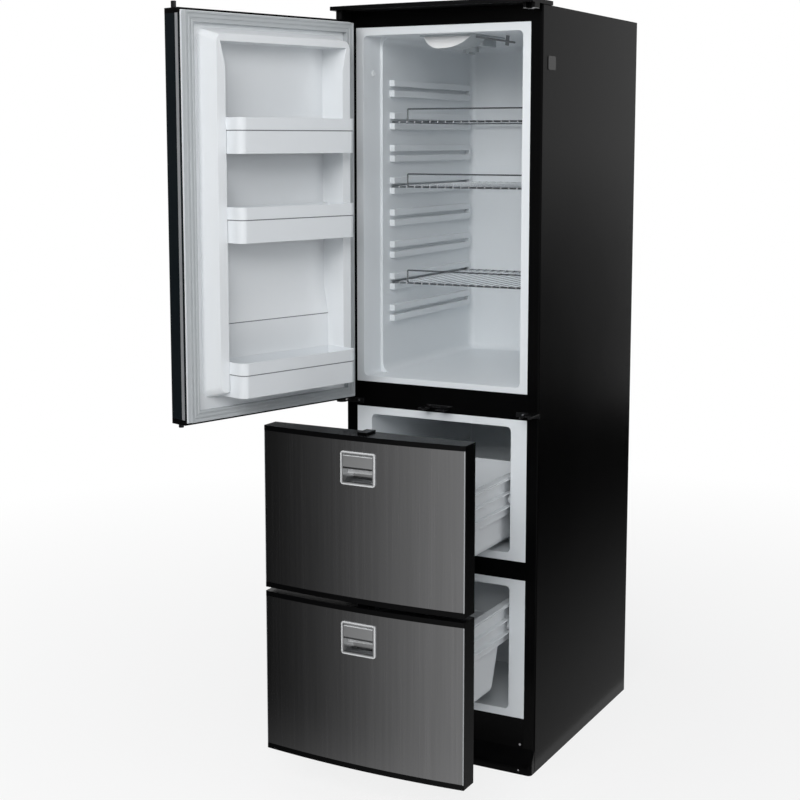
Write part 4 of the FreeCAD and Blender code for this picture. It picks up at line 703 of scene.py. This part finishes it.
# Pipes of the cooling circuit and the drier in the liquid line
runs = [
    ([(-0.052, 0.134, 0.140), (-0.035, 0.122, 0.141), (-0.016, 0.116, 0.150), (0.004, 0.137, 0.156),
      (0.028, 0.137, 0.156)], 3.0, False),
    ([(0.028, 0.137, 0.060), (0.008, 0.137, 0.060), (-0.004, 0.137, 0.064), (-0.004, 0.137, 0.090),
      (-0.004, 0.137, 0.160), (-0.004, 0.140, 0.190), (-0.004, 0.152, 0.222)], 2.4, False),
    ([(-0.135, 0.205, 0.150), (-0.150, 0.222, 0.152), (-0.160, 0.230, 0.170), (-0.160, 0.226, 0.200),
      (-0.160, 0.214, 0.222)], 3.6, False),
]
bent_wires("cooling_pipes", runs, PIPE_COPPER, "cabinet", turns=4)
DRIER_MM = ((2.6, 88), (5, 92), (8.5, 98), (8.5, 142), (5, 150), (2.6, 154))
shape = bmesh.new()
profile = [shape.verts.new((radius * MM, 0, level * MM)) for radius, level in DRIER_MM]
chain = [shape.edges.new(pair) for pair in zip(profile, profile[1:])]
bmesh.ops.spin(shape, geom=profile + chain, cent=(0, 0, 0), axis=(0, 0, 1), angle=math.tau, steps=20,
               use_merge=True)
bmesh.ops.translate(shape, verts=shape.verts[:], vec=(-0.004, 0.137, 0))
bmesh.ops.remove_doubles(shape, verts=shape.verts[:], dist=0.000001)
bmesh.ops.recalc_face_normals(shape, faces=shape.faces[:])
new_piece("liquid_drier", shape, [PIPE_COPPER], "cabinet")


# Studio: pale floor, white surroundings, soft lamps
def shown_rays(tree):
    """1 for rays from the camera, mirrored rays and rays through glass, otherwise 0."""
    ray = put(tree, "LightPath")
    seen = put(tree, "Math", operation="MAXIMUM")
    shown = put(tree, "Math", operation="MAXIMUM")
    join(tree, ray.outputs["Is Camera Ray"], seen.inputs[0])
    join(tree, ray.outputs["Is Glossy Ray"], seen.inputs[1])
    join(tree, seen.outputs[0], shown.inputs[0])
    join(tree, ray.outputs["Is Transmission Ray"], shown.inputs[1])
    return shown.outputs[0]


FLOOR_HALF = 30
shape = bmesh.new()
bmesh.ops.create_grid(shape, x_segments=1, y_segments=1, size=FLOOR_HALF)
floor = object_from("floor", shape)
floor_paint, floor_tree, floor_shader = new_material("floor_pale")
floor_source = use_group(floor_tree, SURFACE, Colour=rgb(0.82, 0.82, 0.82), Tone=0.01, Roughness=0.8)
join(floor_tree, floor_source.outputs["Colour"], floor_shader.inputs["Base Color"])
join(floor_tree, floor_source.outputs["Roughness"], floor_shader.inputs["Roughness"])
floor_shader.inputs["Specular IOR Level"].default_value = 0.0
# Seen directly or mirrored, the floor turns to the white of the surroundings away from the object
floor_where = put(floor_tree, "TexCoord")
floor_far = put(floor_tree, "VectorMath", operation="LENGTH")
floor_fade = put(floor_tree, "MapRange")
floor_fade.inputs["From Min"].default_value = 0.5
floor_fade.inputs["From Max"].default_value = 2.6
floor_fade.inputs["To Min"].default_value = 0.82
floor_fade.inputs["To Max"].default_value = 1.0
floor_mix = put(floor_tree, "Math", operation="MULTIPLY")
floor_white = put(floor_tree, "Emission")
floor_white.inputs["Color"].default_value = rgb(1, 1, 1)
floor_pick = put(floor_tree, "MixShader")
join(floor_tree, floor_where.outputs["Object"], floor_far.inputs[0])
join(floor_tree, floor_far.outputs["Value"], floor_fade.inputs["Value"])
join(floor_tree, shown_rays(floor_tree), floor_mix.inputs[0])
join(floor_tree, floor_fade.outputs["Result"], floor_mix.inputs[1])
join(floor_tree, floor_mix.outputs[0], floor_pick.inputs["Fac"])
join(floor_tree, floor_shader.outputs["BSDF"], floor_pick.inputs[1])
join(floor_tree, floor_white.outputs["Emission"], floor_pick.inputs[2])
join(floor_tree, floor_pick.outputs["Shader"], floor_tree.nodes["Material Output"].inputs["Surface"])
floor.data.materials.append(floor_paint)


# Cards that are seen only in reflections
def graded_card(name, low, high, axis, levels):
    """A sheet whose tone runs along one axis through the given places and levels."""
    shape = bmesh.new()
    bmesh.ops.create_grid(shape, x_segments=1, y_segments=1, size=0.5)
    low, high = Vector(low), Vector(high)
    span, middle = high - low, (low + high) / 2
    for side, hinge in ((span.y, "X"), (span.x, "Y")):
        if side == 0:
            upright = Matrix.Rotation(math.pi / 2, 3, hinge)
            bmesh.ops.rotate(shape, verts=shape.verts[:], cent=(0, 0, 0), matrix=upright)
    bmesh.ops.scale(shape, verts=shape.verts[:], vec=span)
    bmesh.ops.translate(shape, verts=shape.verts[:], vec=middle)
    card = object_from(name, shape)
    paint, tree, _ = new_material(name)
    where = put(tree, "TexCoord")
    axes = put(tree, "SeparateXYZ")
    reach = put(tree, "MapRange")
    reach.inputs["From Min"].default_value = levels[0][0]
    reach.inputs["From Max"].default_value = levels[-1][0]
    ramp = put(tree, "ValToRGB")
    marks = ramp.color_ramp.elements
    while len(marks) < len(levels):
        marks.new(0.5)
    for mark, (place, tone) in zip(marks, levels):
        mark.position = (place - levels[0][0]) / (levels[-1][0] - levels[0][0])
        mark.color = rgb(tone, tone, tone)
    glow = put(tree, "Emission")
    glow.inputs["Strength"].default_value = 1.0
    join(tree, where.outputs["Object"], axes.inputs[0])
    join(tree, axes.outputs[axis], reach.inputs["Value"])
    join(tree, reach.outputs["Result"], ramp.inputs["Fac"])
    join(tree, ramp.outputs["Color"], glow.inputs["Color"])
    join(tree, glow.outputs["Emission"], tree.nodes["Material Output"].inputs["Surface"])
    card.data.materials.append(paint)
    card.visible_camera = False
    card.visible_diffuse = False
    card.visible_transmission = False
    card.visible_shadow = False


CARD_LOW, FRONT_Y, SIDE_X = 0.003, -0.98, 1.4
FRONT_LEVELS = [(-0.75, 0.0), (-0.55, 0.045), (-0.35, 0.16), (-0.2, 0.33), (0.0, 0.68), (0.18, 1.0)]
graded_card("front_card", (-1.9, FRONT_Y, CARD_LOW), (1.1, FRONT_Y, 2.4), "X", FRONT_LEVELS)
graded_card("front_card_foot", (-1.9, FRONT_Y, CARD_LOW), (1.1, -0.56, CARD_LOW), "X", FRONT_LEVELS)
graded_card("side_card", (SIDE_X, -0.6, CARD_LOW), (SIDE_X, 4.0, 2.6), "Z",
            [(0.0, 0.0), (0.42, 0.0), (0.6, 0.05), (0.8, 0.17), (1.0, 0.38), (1.25, 0.72)])
graded_card("side_card_foot", (0.24, -0.6, CARD_LOW), (SIDE_X, 4.0, CARD_LOW), "X",
            [(0.24, 0.42), (0.36, 0.34), (0.46, 0.26), (0.58, 0.18), (0.73, 0.09), (0.90, 0.02), (1.12, 0.0)])

# Surroundings: a dim cool light, white where they are seen
world = bpy.data.worlds.new("studio")
SCENE.world = world
world.use_nodes = True
sky = world.node_tree
sky.nodes.clear()
sky_out = put(sky, "OutputWorld")
ambient = put(sky, "Background")
ambient.inputs["Color"].default_value = rgb(0.93, 0.96, 1.0)
ambient.inputs["Strength"].default_value = 0.2
white = put(sky, "Background")
white.inputs["Strength"].default_value = 1.0
white.inputs["Color"].default_value = rgb(1, 1, 1)
pick = put(sky, "MixShader")
join(sky, shown_rays(sky), pick.inputs["Fac"])
join(sky, ambient.outputs[0], pick.inputs[1])
join(sky, white.outputs[0], pick.inputs[2])
join(sky, pick.outputs[0], sky_out.inputs["Surface"])


def soft_lamp(name, place, aim, size, watts):
    """A broad lamp that points from its place at a spot on the object."""
    data = bpy.data.lights.new(name, "AREA")
    data.shape = "RECTANGLE"
    data.size, data.size_y = size
    data.energy = watts
    lamp = bpy.data.objects.new(name, data)
    lamp.location = place
    lamp.rotation_mode = "QUATERNION"
    lamp.rotation_quaternion = (Vector(aim) - Vector(place)).to_track_quat("-Z", "Y")
    SCENE.collection.objects.link(lamp)


soft_lamp("front_key", (0.75, -3.7, 2.5), (-0.05, -0.2, 1.0), (2.8, 1.4), 84)
soft_lamp("left_fill", (-2.9, -1.6, 2.0), (0, -0.2, 0.9), (1.6, 1.8), 12)
soft_lamp("right_fill", (3.0, -0.4, 1.9), (-0.3, -0.5, 1.15), (1.4, 1.6), 13)
soft_lamp("top_fill", (0.2, -1.2, 3.4), (0, -0.2, 0.8), (2.0, 2.0), 9)
